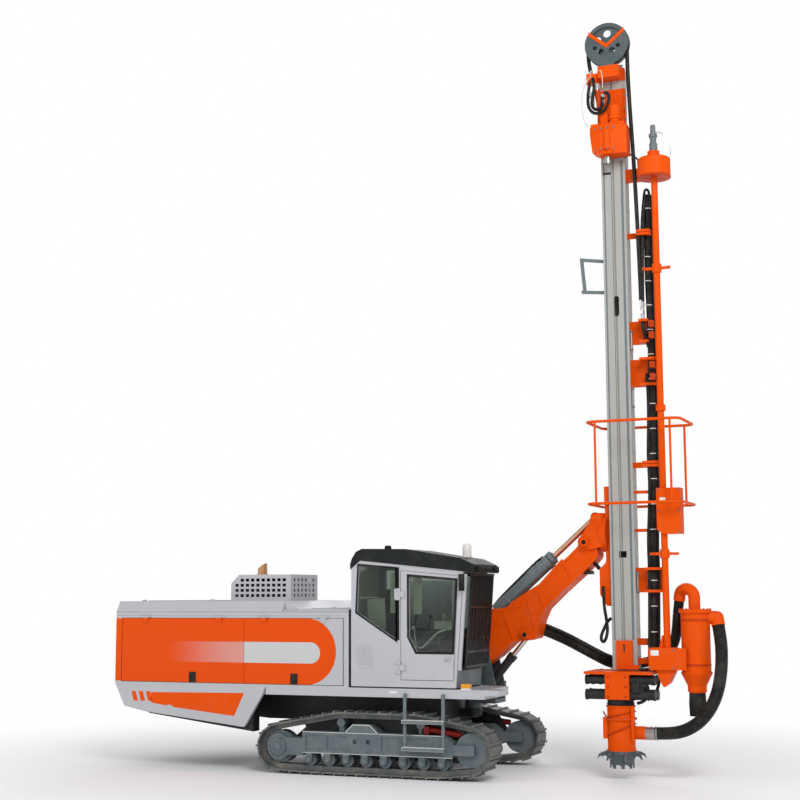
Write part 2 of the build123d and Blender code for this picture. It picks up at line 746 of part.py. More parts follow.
# gearbox below: a housing drawn in towards its front, with a round nose over the spindle
# its upper corner next to the mast stands back so that it passes the cradle
passing_x = cradle_x + 62
passing_y = boom_y - lean_radius - 14
gearbox = slab_z([
    (passing_x, -10),
    (passing_x, passing_y),
    (drill_x - 235, passing_y),
    (drill_x - 235, drill_y - 80),
    (drill_x - 70, drill_y - 140),
    (drill_x + 90, drill_y - 140),
    (drill_x + 300, drill_y - 80),
    (drill_x + 300, -10),
], (head_low_z, head_deck_z - 45))
gearbox -= slab_y([
    (drill_x - 260, head_low_z - 1),
    (drill_x - 60, head_low_z - 1),
    (drill_x - 200, head_low_z + 45),
    (drill_x - 250, head_low_z + 420),
], (-400, 10))
head += gearbox
head += slab_z([
    (passing_x, head_y - 5),
    (passing_x, passing_y),
    (drill_x - 215, passing_y),
    (drill_x - 215, drill_y - 100),
    (drill_x + 275, drill_y - 100),
    (drill_x + 275, head_y - 5),
], (head_deck_z - 46, head_deck_z))
head += rod((drill_x + 25, drill_y - 130, head_low_z + 60),
            (drill_x + 25, drill_y - 130, head_deck_z - 60), 52)
head += rod((drill_x, drill_y, head_low_z - 12), (drill_x, drill_y, head_low_z + 20), 105)
head += rod((drill_x + 120, drill_y - 10, head_deck_z - 5),
            (drill_x + 120, drill_y - 10, head_deck_z + 260), 78)
head += rod((drill_x + 120, drill_y - 10, head_deck_z + 60),
            (drill_x + 120, drill_y - 10, head_deck_z + 100), 92)
# lever with the clamp that takes the hoses coming off the wheel
head += slab_y([
    (2702, 9840),
    (2702, 10005),
    (2850, 9990),
    (2860, 9850),
    (drill_x + 20, head_deck_z + 140),
    (drill_x + 20, head_deck_z - 5),
    (drill_x - 80, head_deck_z - 5),
    (2790, 9820),
], (wheel_y - 30, wheel_y + 30))
keep("rotary_head", head)
spindle = rod((drill_x, drill_y, spindle_low_z), (drill_x, drill_y, spindle_low_z + spindle_pin),
              spindle_radius)
spindle += rod((drill_x, drill_y, spindle_low_z + spindle_pin - 15),
               (drill_x, drill_y, head_low_z - 12 - seat_gap), 40)
keep("spindle", spindle)

# Hose wheel between two half-disc plates on its sled, which travels half as far as the head
sled = carriage(sled_low_z, sled_top_z)
sled += box((wheel_x - 140, wheel_x + 165), (wheel_y - wheel_half - 20, head_y - 5),
            (sled_low_z, sled_top_z))
plate_thick = 12.0
vee_drop = 30.0
vee_rise = 185.0
vee_wide = 62.0
guard_plates = Part()
for side in (-1, 1):
    plate_in = wheel_y + side * (wheel_half + moving_gap)
    plate_y = sorted((plate_in, plate_in + side * plate_thick))
    vee_reach = math.sqrt((wheel_radius + 4) ** 2 - vee_rise ** 2)
    plate = rod((wheel_x, plate_y[0], wheel_z), (wheel_x, plate_y[1], wheel_z), wheel_radius + 4)
    plate -= slab_y([
        (wheel_x - 400, wheel_z + vee_rise + (400 - vee_reach) * 0.6),
        (wheel_x, wheel_z - vee_drop),
        (wheel_x + 400, wheel_z + vee_rise + (400 - vee_reach) * 0.6),
        (wheel_x + 400, wheel_z + 400),
        (wheel_x - 400, wheel_z + 400),
    ], (plate_y[0] - 1, plate_y[1] + 1))
    plate += box((wheel_x - 110, wheel_x + 110), plate_y,
                 (sled_top_z + seat_gap, wheel_z - wheel_radius + 40))
    for dx, dz, radius in ((-172, -48, 30), (172, -48, 30), (-80, -110, 44), (80, -110, 44)):
        plate -= rod((wheel_x + dx, plate_y[0] - 1, wheel_z + dz),
                     (wheel_x + dx, plate_y[1] + 1, wheel_z + dz), radius)
    guard_plates += plate
    strip_y = sorted((plate_y[0] - seat_gap, plate_y[0] - seat_gap - 10) if side < 0
                     else (plate_y[1] + seat_gap, plate_y[1] + seat_gap + 10))
    strip = slab_y([
        (wheel_x, wheel_z - vee_drop - vee_wide * 0.6),
        (wheel_x + vee_reach, wheel_z + vee_rise - vee_wide * 0.6),
        (wheel_x + vee_reach, wheel_z + vee_rise + vee_wide * 0.4),
        (wheel_x, wheel_z - vee_drop + vee_wide * 0.4),
        (wheel_x - vee_reach, wheel_z + vee_rise + vee_wide * 0.4),
        (wheel_x - vee_reach, wheel_z + vee_rise - vee_wide * 0.6),
    ], strip_y)
    sled += strip
axle_half = wheel_half + moving_gap + plate_thick
guard_plates += rod((wheel_x, wheel_y - axle_half, wheel_z), (wheel_x, wheel_y + axle_half, wheel_z),
                    axle_pin_radius)
keep("hose_sled", sled)
keep("hose_wheel_guard", guard_plates)
groove_radius = wheel_radius - 36
wheel_profile = [
    # radius, distance from the wheel's middle plane, for one half
    (axle_pin_radius + slide_gap, 0),
    (axle_pin_radius + slide_gap, wheel_half),
    (75, wheel_half),
    (75, 14),
    (groove_radius - 22, 14),
    (groove_radius - 22, wheel_half),
    (wheel_radius, wheel_half),
    (wheel_radius, wheel_half - 10),
    (groove_radius, wheel_half - 16),
    (groove_radius, 0),
]
whole_profile = wheel_profile + [(r, -half) for r, half in reversed(wheel_profile[1:-1])]
wheel = Pos(wheel_x, wheel_y, wheel_z) * Rot(90, 0, 0) * revolve(
    face_from([(r, 0, half) for r, half in whole_profile]), Axis.Z)
for index in range(6):
    angle = math.radians(60 * index + 30)
    x, z = wheel_x + 168 * math.cos(angle), wheel_z + 168 * math.sin(angle)
    wheel -= rod((x, wheel_y - 50, z), (x, wheel_y + 50, z), 58)
keep("hose_wheel", wheel)

# Hose brackets and clamps up the mast's far right edge, and the bundle that they hold
mast_right_x = mast_x + mast_half + seat_gap
clamp_y = (boom_y - 120, boom_y - 80)
bundle_hoses = [
    # x, y, radius of each hose, low end, top end
    (3400, 10, 24, 1620, 8230),
    (3448, 40, 24, 1600, 8160),
    (3496, 70, 24, 1640, 8250),
    (3544, 100, 24, 1560, 5990),
]
clamps = Part()
for low, high, reach_x in ((2511, 2854, 3590), (5397, 5795, 3590), (6010, 6347, 3480), (1786, 1881, 3330),
                           (7560, 7640, 3540), (4250, 4330, 3580)):
    clamps += box((mast_right_x, reach_x), (clamp_y[1] + 35, clamp_y[1] + 55), (low, high))
    for z in (low, high - 36):
        if reach_x > 3400:
            clamps += box((3345, reach_x), (-42, clamp_y[1] + 40), (z, z + 36))
for x, y, radius, low, top in bundle_hoses:
    hole = radius + slide_gap
    clamps -= box((x - hole, x + hole), (y - hole, y + hole), (mast_low_z, mast_top_z))
keep("mast_hose_clamps", clamps)
bundle = Part()
for x, y, radius, low, top in bundle_hoses:
    bundle += rod((x, y, low), (x, y, top), radius)
keep("mast_hose_bundle", bundle)

# Dust hose from the hood at the mast's foot round to the cyclone
hood_route = [
    (3432, drill_y, coupling_z),
    (3660, drill_y, coupling_z),
    (3880, -205, 672),
    (4080, -265, 790),
    (4235, -290, 965),
    (4335, -275, 1185),
    (4380, -230, 1430),
    (4388, -170, 1670),
    (4370, -110, 1880),
    (4336, -66, 2060),
]
hood_hose, hood_bends = hose(hood_route, hose_radius)
keep("hood_hose", hood_hose)
print("hood hose radii", [round(bend) for bend in hood_bends])


def stub(end, inner, length, radius, bore=0.0):
    """A round spigot that meets a hose end, given the hose's last two points."""
    way = (Vector(*end) - Vector(*inner)).normalized()
    return rod(Vector(*end) + way * seat_gap, Vector(*end) + way * length, radius, bore)


# Table at the mast's foot, with the housing of the jaws under it
table_y = (drill_y - 190, boom_y + mast_half + 40)
jaw_x = (drill_x - 165, drill_x + 165)
jaw_y = (drill_y - 205, drill_y + 190)
table = box((2526, 3478), table_y, (table_z - table_thick, table_z))
table += box((mast_x - mast_half, mast_x + mast_half), (boom_y - mast_half, boom_y + mast_half),
             (table_z - 1, mast_low_z))
housing = box(jaw_x, jaw_y, (jaw_low_z, table_z - table_thick + 1))
housing -= box((jaw_x[0] + 25, jaw_x[1] - 25), (jaw_y[0] + 25, jaw_y[1] - 25),
               (jaw_low_z + 25, table_z - table_thick))
table += housing
for x in (jaw_x[0] - 60, jaw_x[1] + 40):
    table += slab_y([(x, table_z - table_thick), (x + 20, table_z - table_thick), (x + 20, 1200),
                     (x, 1200)], (jaw_y[1] - 40, table_y[1] - 20))
# saddle for the suction hose that comes down behind the mast
table += box((2820, 2880), (table_y[1] - 10, 560), (1392, 1490 - suction_radius - seat_gap))
table -= rod((drill_x, drill_y, 900), (drill_x, drill_y, 1500), guide_radius)
keep("drill_table", table)

# Jaw cylinders on both sides, and the rubber collar between jaws and hood
jaws = Part()
for z, radius in ((1330, 60), (1130, 66)):
    for y in (drill_y - 100, drill_y + 80):
        jaws += rod((2535, y, z), (jaw_x[0] - seat_gap, y, z), radius)
        jaws += rod((2535, y, z), (2560, y, z), radius + 8)
        jaws += rod((jaw_x[1] + seat_gap, y, z), (3500, y, z), radius)
        jaws += rod((3475, y, z), (3500, y, z), radius + 8)
jaws += rod((drill_x, drill_y, hood_top_z + seat_gap), (drill_x, drill_y, jaw_low_z - seat_gap),
            hood_radius - 12, 110)
keep("jaw_cylinders", jaws)

# Dust hood: tube round the drill string with a ring flange, a side plate and the hose coupling
hood = rod((drill_x, drill_y, hood_low_z), (drill_x, drill_y, hood_top_z), hood_radius,
           hood_radius - hood_wall)
hood += rod((drill_x, drill_y, 795), (drill_x, drill_y, 813), hood_radius + 28, hood_radius - 1)
hood += rod((drill_x, drill_y, hood_top_z - 18), (drill_x, drill_y, hood_top_z), hood_radius + 14,
            hood_radius - hood_wall)
hood += rod((drill_x, drill_y, hood_low_z), (drill_x, drill_y, hood_low_z + 22), hood_radius + 10,
            hood_radius - hood_wall)
hood += box((drill_x + hood_radius - 20, drill_x + hood_radius + 18), (drill_y - 130, drill_y - 110),
            (520, hood_top_z - 5))
hood += box((drill_x - hood_radius - 40, drill_x - hood_radius + 25), (drill_y - 110, drill_y - 90),
            (540, 830))
hood += rod((drill_x + hood_radius - 25, drill_y, coupling_z),
            (hood_route[0][0] - seat_gap, drill_y, coupling_z),
            hose_radius + 2, hose_radius - 8)
hood -= rod((drill_x, drill_y, 300), (drill_x, drill_y, 1100), hood_radius - hood_wall)
keep("dust_hood", hood)

# Spiked foot: a flared ring with curved claws round it and a toothed skirt
foot = turned(drill_x, drill_y, [
    (hood_radius - 28, hood_low_z - seat_gap),
    (hood_radius + 12, hood_low_z - seat_gap),
    (hood_radius + 26, 345),
    (hood_radius - 20, 262),
    (hood_radius - 24, 200),
    (hood_radius - 44, 200),
    (hood_radius - 44, 270),
])
claw = [
    # distance from the drill line, height
    (195, 372),
    (262, 366),
    (318, 332),
    (334, 272),
    (306, 304),
    (262, 322),
    (190, 300),
]
for number in range(8):
    turn = Pos(drill_x, drill_y, 0) * Rot(0, 0, 22.5 + 45 * number)
    foot += turn * slab_y(claw, (-14, 14))
    foot += turn * slab_y([(148, 210), (164, 210), (162, foot_low_z), (150, foot_low_z)], (-34, 10))
keep("foot_plate", foot)

# Rod changer: a tube that turns in the cup above and in two boxes, with grippers on it
changer = rod((changer_x, changer_y, changer_low_z), (changer_x, changer_y, changer_top_z),
              changer_tube_radius)
for z in (7030, 3035):
    for side in (-1, 1):
        changer += box(sorted((changer_x + side * gripper_reach, changer_x)),
                       (changer_y - 18, changer_y + 18), (z - 18, z + 18))
        changer += box(sorted((changer_x + side * (gripper_reach - 30), changer_x + side * gripper_reach)),
                       (changer_y - 60, changer_y + 18), (z - 14, z + 14))
    changer += rod((changer_x, changer_y, z - 60), (changer_x, changer_y, z + 60), changer_tube_radius + 20)
changer += rod((changer_x, changer_y, 5010), (changer_x, changer_y, 5090), changer_tube_radius + 22)
keep("rod_changer", changer)
arms = turned(changer_x, changer_y, [
    (0, cup_top_z),
    (86, cup_top_z),
    (86, 8655),
    (100, 8640),
    (212, 8622),
    (cup_radius, cup_shoulder_z),
    (cup_radius, cup_low_z),
    (cup_radius - 10, cup_low_z),
    (cup_radius - 10, cup_shoulder_z - 12),
    (changer_tube_radius + slide_gap, cup_shoulder_z - 12),
    (changer_tube_radius + slide_gap, changer_top_z + 8),
    (0, changer_top_z + 8),
])
arm_y = (boom_y - 110, boom_y + 20)
arms += box((mast_right_x, changer_x), arm_y, (8405, 8575)) - rod(
    (changer_x, changer_y, 8300), (changer_x, changer_y, 8700), cup_radius - 5)
mid_box = slab_y([
    (3574, 3932),
    (3906, 3932),
    (3906, 3304),
    (3664, 3304),
    (3574, 3362),
], (changer_y - 100, changer_y + 100))
for z in (3908, 3372):
    mid_box += box((mast_right_x, 3640), (clamp_y[1] + 5, clamp_y[1] + 30), (z - 22, z + 22))
    mid_box += box((3600, 3640), (changer_y + 90, clamp_y[1] + 10), (z - 22, z + 22))
mid_box -= rod((changer_x, changer_y, 3000), (changer_x, changer_y, 4200), changer_tube_radius + slide_gap)
low_box = box((3426, 3790), (changer_y - 170, changer_y + 90), (1474, 1766))
low_box += box((3789, 3935), (changer_y - 170, changer_y - 150), (1474, 1766))
low_box += slab_y([(3540, 1765), (3600, 1765), (3600, 1930), (3580, 1930)],
                  (changer_y - 20, changer_y + 20))
low_box += slab_y([(3510, 1475), (3780, 1475), (3690, 1300), (3610, 1240), (3560, 1330)],
                  (changer_y - 120, changer_y + 60))
low_box += box((3440, 3477), (changer_y + 60, changer_y + 130), (table_z + seat_gap, 1700))
low_box -= rod((changer_x, changer_y, changer_low_z - seat_gap), (changer_x, changer_y, 2200),
               changer_tube_radius + slide_gap)
keep("changer_arms", arms, mid_box, low_box)

# Cyclone: flanged body with a cone and its outlet bend, held by a bar from the mast
cyclone = turned(cyclone_x, cyclone_y, [
    (0, 1168),
    (112, 1168),
    (112, 1180),
    (128, 1180),
    (128, 1262),
    (cyclone_radius + 14, cyclone_low_z - 22),
    (cyclone_radius + 14, cyclone_low_z),
    (cyclone_radius, cyclone_low_z),
    (cyclone_radius, cyclone_top_z - 54),
    (cyclone_radius + 23, cyclone_top_z - 54),
    (cyclone_radius + 23, cyclone_top_z),
    (0, cyclone_top_z),
])
bend_route = [
    (cyclone_x - 5, cyclone_y, cyclone_top_z - 5),
    (cyclone_x - 5, cyclone_y, 2505),
    (3900, 15, 2570),
    (3800, 88, 2520),
    (3780, 103, 2400),
]
outlet, _ = hose(bend_route, suction_radius + 8)
cyclone += outlet
inlet_way = (Vector(*hood_route[-1]) - Vector(*hood_route[-2])).normalized()
inlet_turn = Vector(*hood_route[-1]) + inlet_way * 112
cuff = stub(hood_route[-1], hood_route[-2], 112, hose_radius + 3)
cuff += Pos(*inlet_turn) * Sphere(hose_radius + 3)
cuff += rod(inlet_turn, (cyclone_x + 60, cyclone_y, inlet_turn.Z + 15), hose_radius + 3)
cyclone += cuff
keep("cyclone", cyclone)
sock = turned(cyclone_x, cyclone_y, [
    (0, 860),
    (110, 860),
    (116, 1010),
    (110, 1168 - seat_gap),
    (0, 1168 - seat_gap),
])
keep("cyclone_sock", sock)
bar = box((mast_right_x, cyclone_x), (boom_y - 60, boom_y + 20), (1530, 1610))
bar += box((cyclone_x - 120, cyclone_x), (cyclone_y, boom_y), (1530, 1610))
bar += box((cyclone_x - 120, cyclone_x), (cyclone_y, boom_y - 30), (2080, 2140))
bar += box((cyclone_x - 120, cyclone_x - 60), (boom_y - 60, boom_y - 30), (1560, 2140))
bar -= rod((cyclone_x, cyclone_y, 1400), (cyclone_x, cyclone_y, 2300), cyclone_radius + seat_gap)
keep("cyclone_bracket", bar)

# Suction hose from the cyclone's outlet down behind the mast's foot
bend_way = (Vector(*bend_route[-1]) - Vector(*bend_route[-2])).normalized()
suction_end = Vector(*bend_route[-1]) + bend_way * seat_gap
suction_route = [
    tuple(suction_end),
    (3750, 126, 2220),
    (3722, 180, 2020),
    (3676, 245, 1840),
    (3575, 312, 1700),
    (3430, 375, 1605),
    (3250, 430, 1545),
    (3050, 465, 1510),
    (2850, 480, 1490),
]
suction, suction_bends = hose(suction_route, suction_radius)
keep("suction_hose", suction)
print("suction hose radii", [round(bend) for bend in suction_bends])

# Guard cage: two hoops round the mast on four posts, held by arms on the mast's far side
cage_x = (2650.0, 3960.0)
cage_y = (-420.0, 560.0)
cage_bar = 20.0
cage_z = (3730.0, 4870.0)
cage_corner = 120.0
cage = Part()
for z in cage_z:
    hoop = Pos(sum(cage_x) / 2, sum(cage_y) / 2, z) * RectangleRounded(
        cage_x[1] - cage_x[0], cage_y[1] - cage_y[0], cage_corner).wire()
    cage += sweep(Plane(origin=hoop @ 0, z_dir=hoop % 0) * Circle(cage_bar), path=hoop)
    cage += box((mast_x - 30, mast_x + 30), (boom_y + mast_half + seat_gap, cage_y[1]), (z - 25, z + 25))
for x in (cage_x[0] + 130, cage_x[1] - 130):
    for y in cage_y:
        cage += rod((x, y, cage_z[0]), (x, y, cage_z[1]), cage_bar - 4)
keep("guard_cage", cage)

# Engine house: a lid with chamfered edges on a rear and front wall, posts and a sill
def house_section(inset, top, x):
    """Cross section of the house from its sill to its roof, drawn in from the outside."""
    side = half_width - inset
    return slab_x([
        (-side, platform_top_z),
        (side, platform_top_z),
        (side, house_shoulder_z),
        (side - shoulder_inset, top - inset),
        (-side + shoulder_inset, top - inset),
        (-side, house_shoulder_z),
    ], x)


house = house_section(0, house_roof_z, (house_rear_x, roof_step_x))
house += house_section(0, house_step_z, (roof_step_x - 1, house_front_x))
house -= house_section(house_wall, house_roof_z, (house_rear_x + house_wall, roof_step_x))
house -= house_section(house_wall, house_step_z, (roof_step_x - 1, house_front_x - house_wall))
house += slab_y([
    (roof_step_x - 1, house_step_z - house_wall),
    (roof_step_x - 1, house_roof_z),
    (roof_step_end_x, house_step_z),
    (roof_step_end_x, house_step_z - house_wall),
], (shoulder_inset - half_width, half_width - shoulder_inset))
house -= box((house_rear_x + 100, house_front_x - 100), (-half_width + 100, half_width - 100),
             (platform_top_z - 1, platform_top_z + 60))
door_gap = moving_gap
door_spans = {"rear": (door_rear_x, door_split_x - door_gap / 2),
              "front": (door_split_x + door_gap / 2, door_front_x)}
for x in door_spans.values():
    for y in ((-half_width - 1, -half_width + house_wall + 1),
              (half_width - house_wall - 1, half_width + 1)):
        house -= box((x[0] - door_gap, x[1] + door_gap), y, (door_low_z - door_gap, door_top_z + door_gap))
house -= box((house_rear_x - 1, house_rear_x + house_wall + 1), (-900, 900), (1400, 2120))
hinge_z = door_top_z + 22
hinge_y = half_width + 16
pin_parts = Part()
for x in door_spans.values():
    for share in (0.2, 0.8):
        at = x[0] + share * (x[1] - x[0])
        for side in (-1, 1):
            y = side * hinge_y
            pin_parts += rod((at - hinge_length, y, hinge_z), (at + hinge_length, y, hinge_z),
                             hinge_pin_radius)
            for end in (-1, 1):
                lug_x = sorted((at + end * (hinge_length / 2 + 1), at + end * hinge_length))
                pin_parts += box(lug_x, sorted((side * (half_width - 2), side * (hinge_y + 8))),
                                 (hinge_z - 9, hinge_z + 9))
house += pin_parts
keep("engine_house", house)
for row, side in (("right", -1), ("left", 1)):
    for place, x in door_spans.items():
        leaf = box(x, sorted((side * (half_width - door_thick), side * half_width)),
                   (door_low_z, door_top_z))
        for share in (0.2, 0.8):
            at = x[0] + share * (x[1] - x[0])
            y = side * hinge_y
            knuckle = rod((at - hinge_length / 2, y, hinge_z), (at + hinge_length / 2, y, hinge_z),
                          hinge_radius)
            strap = box((at - hinge_length / 2, at + hinge_length / 2),
                        sorted((side * (half_width - 2), side * (half_width + 16))),
                        (door_top_z - 60, door_top_z))
            strap += box((at - hinge_length / 2, at + hinge_length / 2),
                         sorted((side * (half_width + moving_gap), side * (half_width + 20))),
                         (door_top_z - 20, hinge_z))
            leaf += knuckle + strap
            leaf -= rod((at - hinge_length, y, hinge_z), (at + hinge_length, y, hinge_z),
                        hinge_pin_radius + slide_gap)
        keep(f"engine_door_{row}_{place}", leaf)

for row, side in (("right", -1), ("left", 1)):
    skirt = slab_y([
        (house_rear_x, platform_top_z - seat_gap),
        (-4275, 885),
        (-3822, 795),
        (-2247, 625),
        (-1960, 1082),
        (skirt_front_x - seat_gap, platform_top_z - seat_gap),
    ], sorted((side * (half_width - skirt_thick), side * half_width)))
    keep(f"skirt_{row}", skirt)

grille = box((house_rear_x + 5, house_rear_x + 35), (-900 + seat_gap, 900 - seat_gap),
             (1400 + seat_gap, 2120 - seat_gap))
for number in range(12):
    z = 1430 + number * 56
    grille -= box((house_rear_x, house_rear_x + 40), (-870, 870), (z, z + 40))
keep("cooler_grille", grille)
engine = box((-3900, -2500), (-450, 450), (platform_top_z + seat_gap, 2000))
keep("engine", engine)
compressor = box((-2300, -1200), (-500, 500), (platform_top_z + seat_gap, 1950))
keep("compressor", compressor)

cover_x = (-2790.0, -1790.0)
cover_y = (-700.0, 200.0)
cover_top_z = 2800.0
cover_wall = 12.0
cover_chamfer = 130.0
stub_x = -2474.0
stub_y = -300.0


def cover_shape(inset, low):
    """The cover with its rear top edge chamfered, drawn in from the outside."""
    return slab_y([
        (cover_x[0] + inset, low),
        (cover_x[0] + inset, cover_top_z - cover_chamfer),
        (cover_x[0] + cover_chamfer, cover_top_z - inset),
        (cover_x[1] - inset, cover_top_z - inset),
        (cover_x[1] - inset, low),
    ], (cover_y[0] + inset, cover_y[1] - inset))


cover = cover_shape(0, house_roof_z + seat_gap) - cover_shape(cover_wall, house_roof_z - 1)
cover -= rod((stub_x, stub_y, 2700), (stub_x, stub_y, 2900), 90)
# rows of air holes in the two long sides and in the front
hole_low_z = 2470.0
hole_wide = 58.0
hole_high = 44.0
holes = Part()
for row in range(4):
    z = (hole_low_z + 76 * row, hole_low_z + 76 * row + hole_high)
    for column in range(10):
        x = cover_x[0] + 70 + 88 * column
        if row < 3 or column > 0:
            holes += box((x, x + hole_wide), (cover_y[0] - 1, cover_y[1] + 1), z)
    for column in range(6):
        y = cover_y[0] + 100 + 126 * column
        holes += box((cover_x[1] - cover_wall - 1, cover_x[1] + 1), (y, y + hole_wide), z)
cover -= holes
keep("exhaust_cover", cover)
stub = rod((stub_x, stub_y, house_roof_z + seat_gap), (stub_x, stub_y, 2990), 70, 62)
stub -= slab_y([(stub_x - 80, 2880), (stub_x + 80, 2985), (stub_x + 80, 3000), (stub_x - 80, 3000)],
               (stub_y - 80, stub_y + 80))
keep("exhaust_stub", stub)

# Cab: hollow shell with its windows cut, roof, door and guard
roof_slope = (cab_roof_front_z - cab_roof_rear_z) / (cab_front_top_x - cab_rear_x)


def roof_line(x):
    """Height of the cab's slanted top at a distance along it."""
    return cab_roof_rear_z + (x - cab_rear_x) * roof_slope


cab_corner_x = cab_rear_x + 140
cab_corner_z = 2860.0
cab_outline = [
    (cab_rear_x, cab_floor_z),
    (cab_front_low_x, cab_floor_z),
    (cab_front_top_x, cab_roof_front_z),
    (cab_corner_x, roof_line(cab_corner_x)),
    (cab_rear_x, cab_corner_z),
]
cab_y = (cab_right_y, cab_left_y)
cab = slab_y(cab_outline, cab_y)
for x in (cab_rear_x + 150, cab_front_low_x - 150):
    for y in (cab_right_y + 150, cab_left_y - 150):
        cab += rod((x, y, platform_top_z + seat_gap), (x, y, cab_floor_z + 1), 45)
cab -= slab_y([
    (cab_rear_x + cab_wall, cab_floor_z + cab_wall),
    (cab_front_low_x - cab_wall, cab_floor_z + cab_wall),
    (cab_front_top_x - cab_wall, cab_roof_front_z - 40),
    (cab_corner_x + 20, roof_line(cab_corner_x) - 42),
    (cab_rear_x + cab_wall, cab_corner_z - 20),
], (cab_right_y + cab_wall, cab_left_y - cab_wall))
door_outline = [
    (cab_door_rear_x, cab_door_low_z),
    (cab_door_front_x, cab_door_low_z),
    (cab_door_front_x + 70, cab_roof_front_z - 60),
    (cab_door_rear_x, cab_roof_front_z + 20),
]
door_hole = [
    (cab_door_rear_x - moving_gap, cab_door_low_z - moving_gap),
    (cab_door_front_x + moving_gap, cab_door_low_z - moving_gap),
    (cab_door_front_x + 70 + moving_gap, cab_roof_front_z - 60 + moving_gap),
    (cab_door_rear_x - moving_gap, cab_roof_front_z + 20 + moving_gap),
]
cab -= slab_y(door_hole, (cab_right_y - 1, cab_right_y + cab_wall + 1))
rear_window = [(-470, 2256), (173 - 60, 1888), (173 - 60, 2850), (-440, 2900)]
cab -= slab_y(rear_window, (cab_right_y - 1, cab_right_y + cab_wall + 1))
left_window = [(-440, 1900), (900, 1900), (960, 2740), (-440, 2850)]
cab -= slab_y(left_window, (cab_left_y - cab_wall - 1, cab_left_y + 1))
cab -= box((cab_front_low_x - 60, cab_front_top_x + 10), (cab_right_y + 80, cab_left_y - 80), (1500, 2740))
cab -= box((cab_rear_x - 1, cab_rear_x + cab_wall + 1), (cab_right_y + 120, cab_left_y - 120), (2450, 2850))
cab_hinge_x = cab_door_rear_x - 12
cab_hinge_y = cab_right_y - 16
cab_hinges_z = (cab_door_low_z + 165, cab_roof_front_z - 305)
for z in cab_hinges_z:
    cab += rod((cab_hinge_x, cab_hinge_y, z - 80), (cab_hinge_x, cab_hinge_y, z + 80), hinge_pin_radius)
    for low in (z - 80, z + 41):
        cab += box((cab_hinge_x - 50, cab_hinge_x + 9), (cab_hinge_y - 8, cab_right_y + 2), (low, low + 39))
keep("cab_shell", cab)
corner_slope = (roof_line(cab_corner_x) - cab_corner_z) / (cab_corner_x - cab_rear_x)
roof = slab_y([
    (cab_rear_x - 12, cab_corner_z - 12 * corner_slope + 2 * seat_gap),
    (cab_corner_x, roof_line(cab_corner_x) + 2 * seat_gap),
    (cab_front_top_x + 160, roof_line(cab_front_top_x + 160) + 2 * seat_gap),
    (cab_front_top_x + 165, 2850),
    (1262, 2903),
    (1074, 2990),
    (261, 3123),
    (-393, 3136),
    (-486, 3095),
    (-548, 3000),
    (cab_rear_x - 14, 2925),
], (cab_right_y - 10, cab_left_y + 10))
keep("cab_roof", roof)
beacon_x = 977.0
beacon_y = -700.0
beacon_low_z = 3000.0
knob_x = -230.0
knob_z = 3134.5
lamps = turned(beacon_x, beacon_y, [
    (0, beacon_low_z + 8),
    (76, beacon_low_z + 8),
    (76, beacon_low_z + 30),
    (60, beacon_low_z + 34),
    (60, beacon_low_z + 175),
    (40, beacon_low_z + 196),
    (0, beacon_low_z + 200),
])
lamps += turned(beacon_x, beacon_y, [(0, 2990), (30, 2990), (30, beacon_low_z + 20), (0, beacon_low_z + 20)])
lamps -= slab_y([(800, 2900), (1200, 2900), (1200, 2932.4), (1074, 2990.6), (800, 3035.4)],
                (beacon_y - 100, beacon_y + 100))
knob = turned(knob_x, beacon_y, [(0, knob_z), (46, knob_z), (46, knob_z + 36), (30, knob_z + 56),
                                 (0, knob_z + 58)])
marker = box((1067, 1196), (cab_right_y + 10, cab_right_y + 70), (platform_top_z + seat_gap, 1290))
keep("cab_lamps", lamps, knob, marker)
window_depth = (cab_wall - pane) / 2
cab_door = slab_y(door_outline, (cab_right_y, cab_right_y + cab_wall))
door_window = [(320, 1920), (430, 1719), (945, 1719), (1000, 2680), (320, 2740)]
cab_door -= slab_y(door_window, (cab_right_y - 1, cab_right_y + cab_wall + 1))
for z in cab_hinges_z:
    knuckle = rod((cab_hinge_x, cab_hinge_y, z - 40), (cab_hinge_x, cab_hinge_y, z + 40), hinge_radius)
    knuckle += box((cab_hinge_x, cab_door_rear_x + 60), (cab_hinge_y - 6, cab_hinge_y + 6), (z - 40, z + 40))
    knuckle += box((cab_door_rear_x + 4, cab_door_rear_x + 60), (cab_hinge_y, cab_right_y + 2),
                   (z - 40, z + 40))
    cab_door += knuckle
    cab_door -= rod((cab_hinge_x, cab_hinge_y, z - 90), (cab_hinge_x, cab_hinge_y, z + 90),
                    hinge_pin_radius + slide_gap)
keep("cab_door", cab_door)


def cab_front(z):
    """How far forward the cab's slanted front lies at a height."""
    share = (z - cab_floor_z) / (cab_roof_front_z - cab_floor_z)
    return cab_front_low_x + share * (cab_front_top_x - cab_front_low_x)


guard_z = (1500.0, 2785.0)
guard_y = (cab_right_y + 60, cab_left_y - 10)
guard_stand = 80.0
guard_deep = 30.0
guard = Part()
for low in (guard_z[0], guard_z[1] - 40):
    guard += slab_y([
        (cab_front(low) + seat_gap + guard_stand, low),
        (cab_front(low) + guard_stand + guard_deep, low),
        (cab_front(low + 40) + guard_stand + guard_deep, low + 40),
        (cab_front(low + 40) + seat_gap + guard_stand, low + 40),
    ], guard_y)
    for y in (guard_y[0] + 40, guard_y[1] - 80):
        guard += slab_y([
            (cab_front(low) + seat_gap, low),
            (cab_front(low) + guard_stand + 5, low),
            (cab_front(low + 40) + guard_stand + 5, low + 40),
            (cab_front(low + 40) + seat_gap, low + 40),
        ], (y, y + 40))
guard_bands = (1885.0, 2308.0)
for low in guard_bands:
    guard += slab_y([
        (cab_front(low) + guard_stand, low),
        (cab_front(low) + guard_stand + guard_deep, low),
        (cab_front(low + 26) + guard_stand + guard_deep, low + 26),
        (cab_front(low + 26) + guard_stand, low + 26),
    ], guard_y)
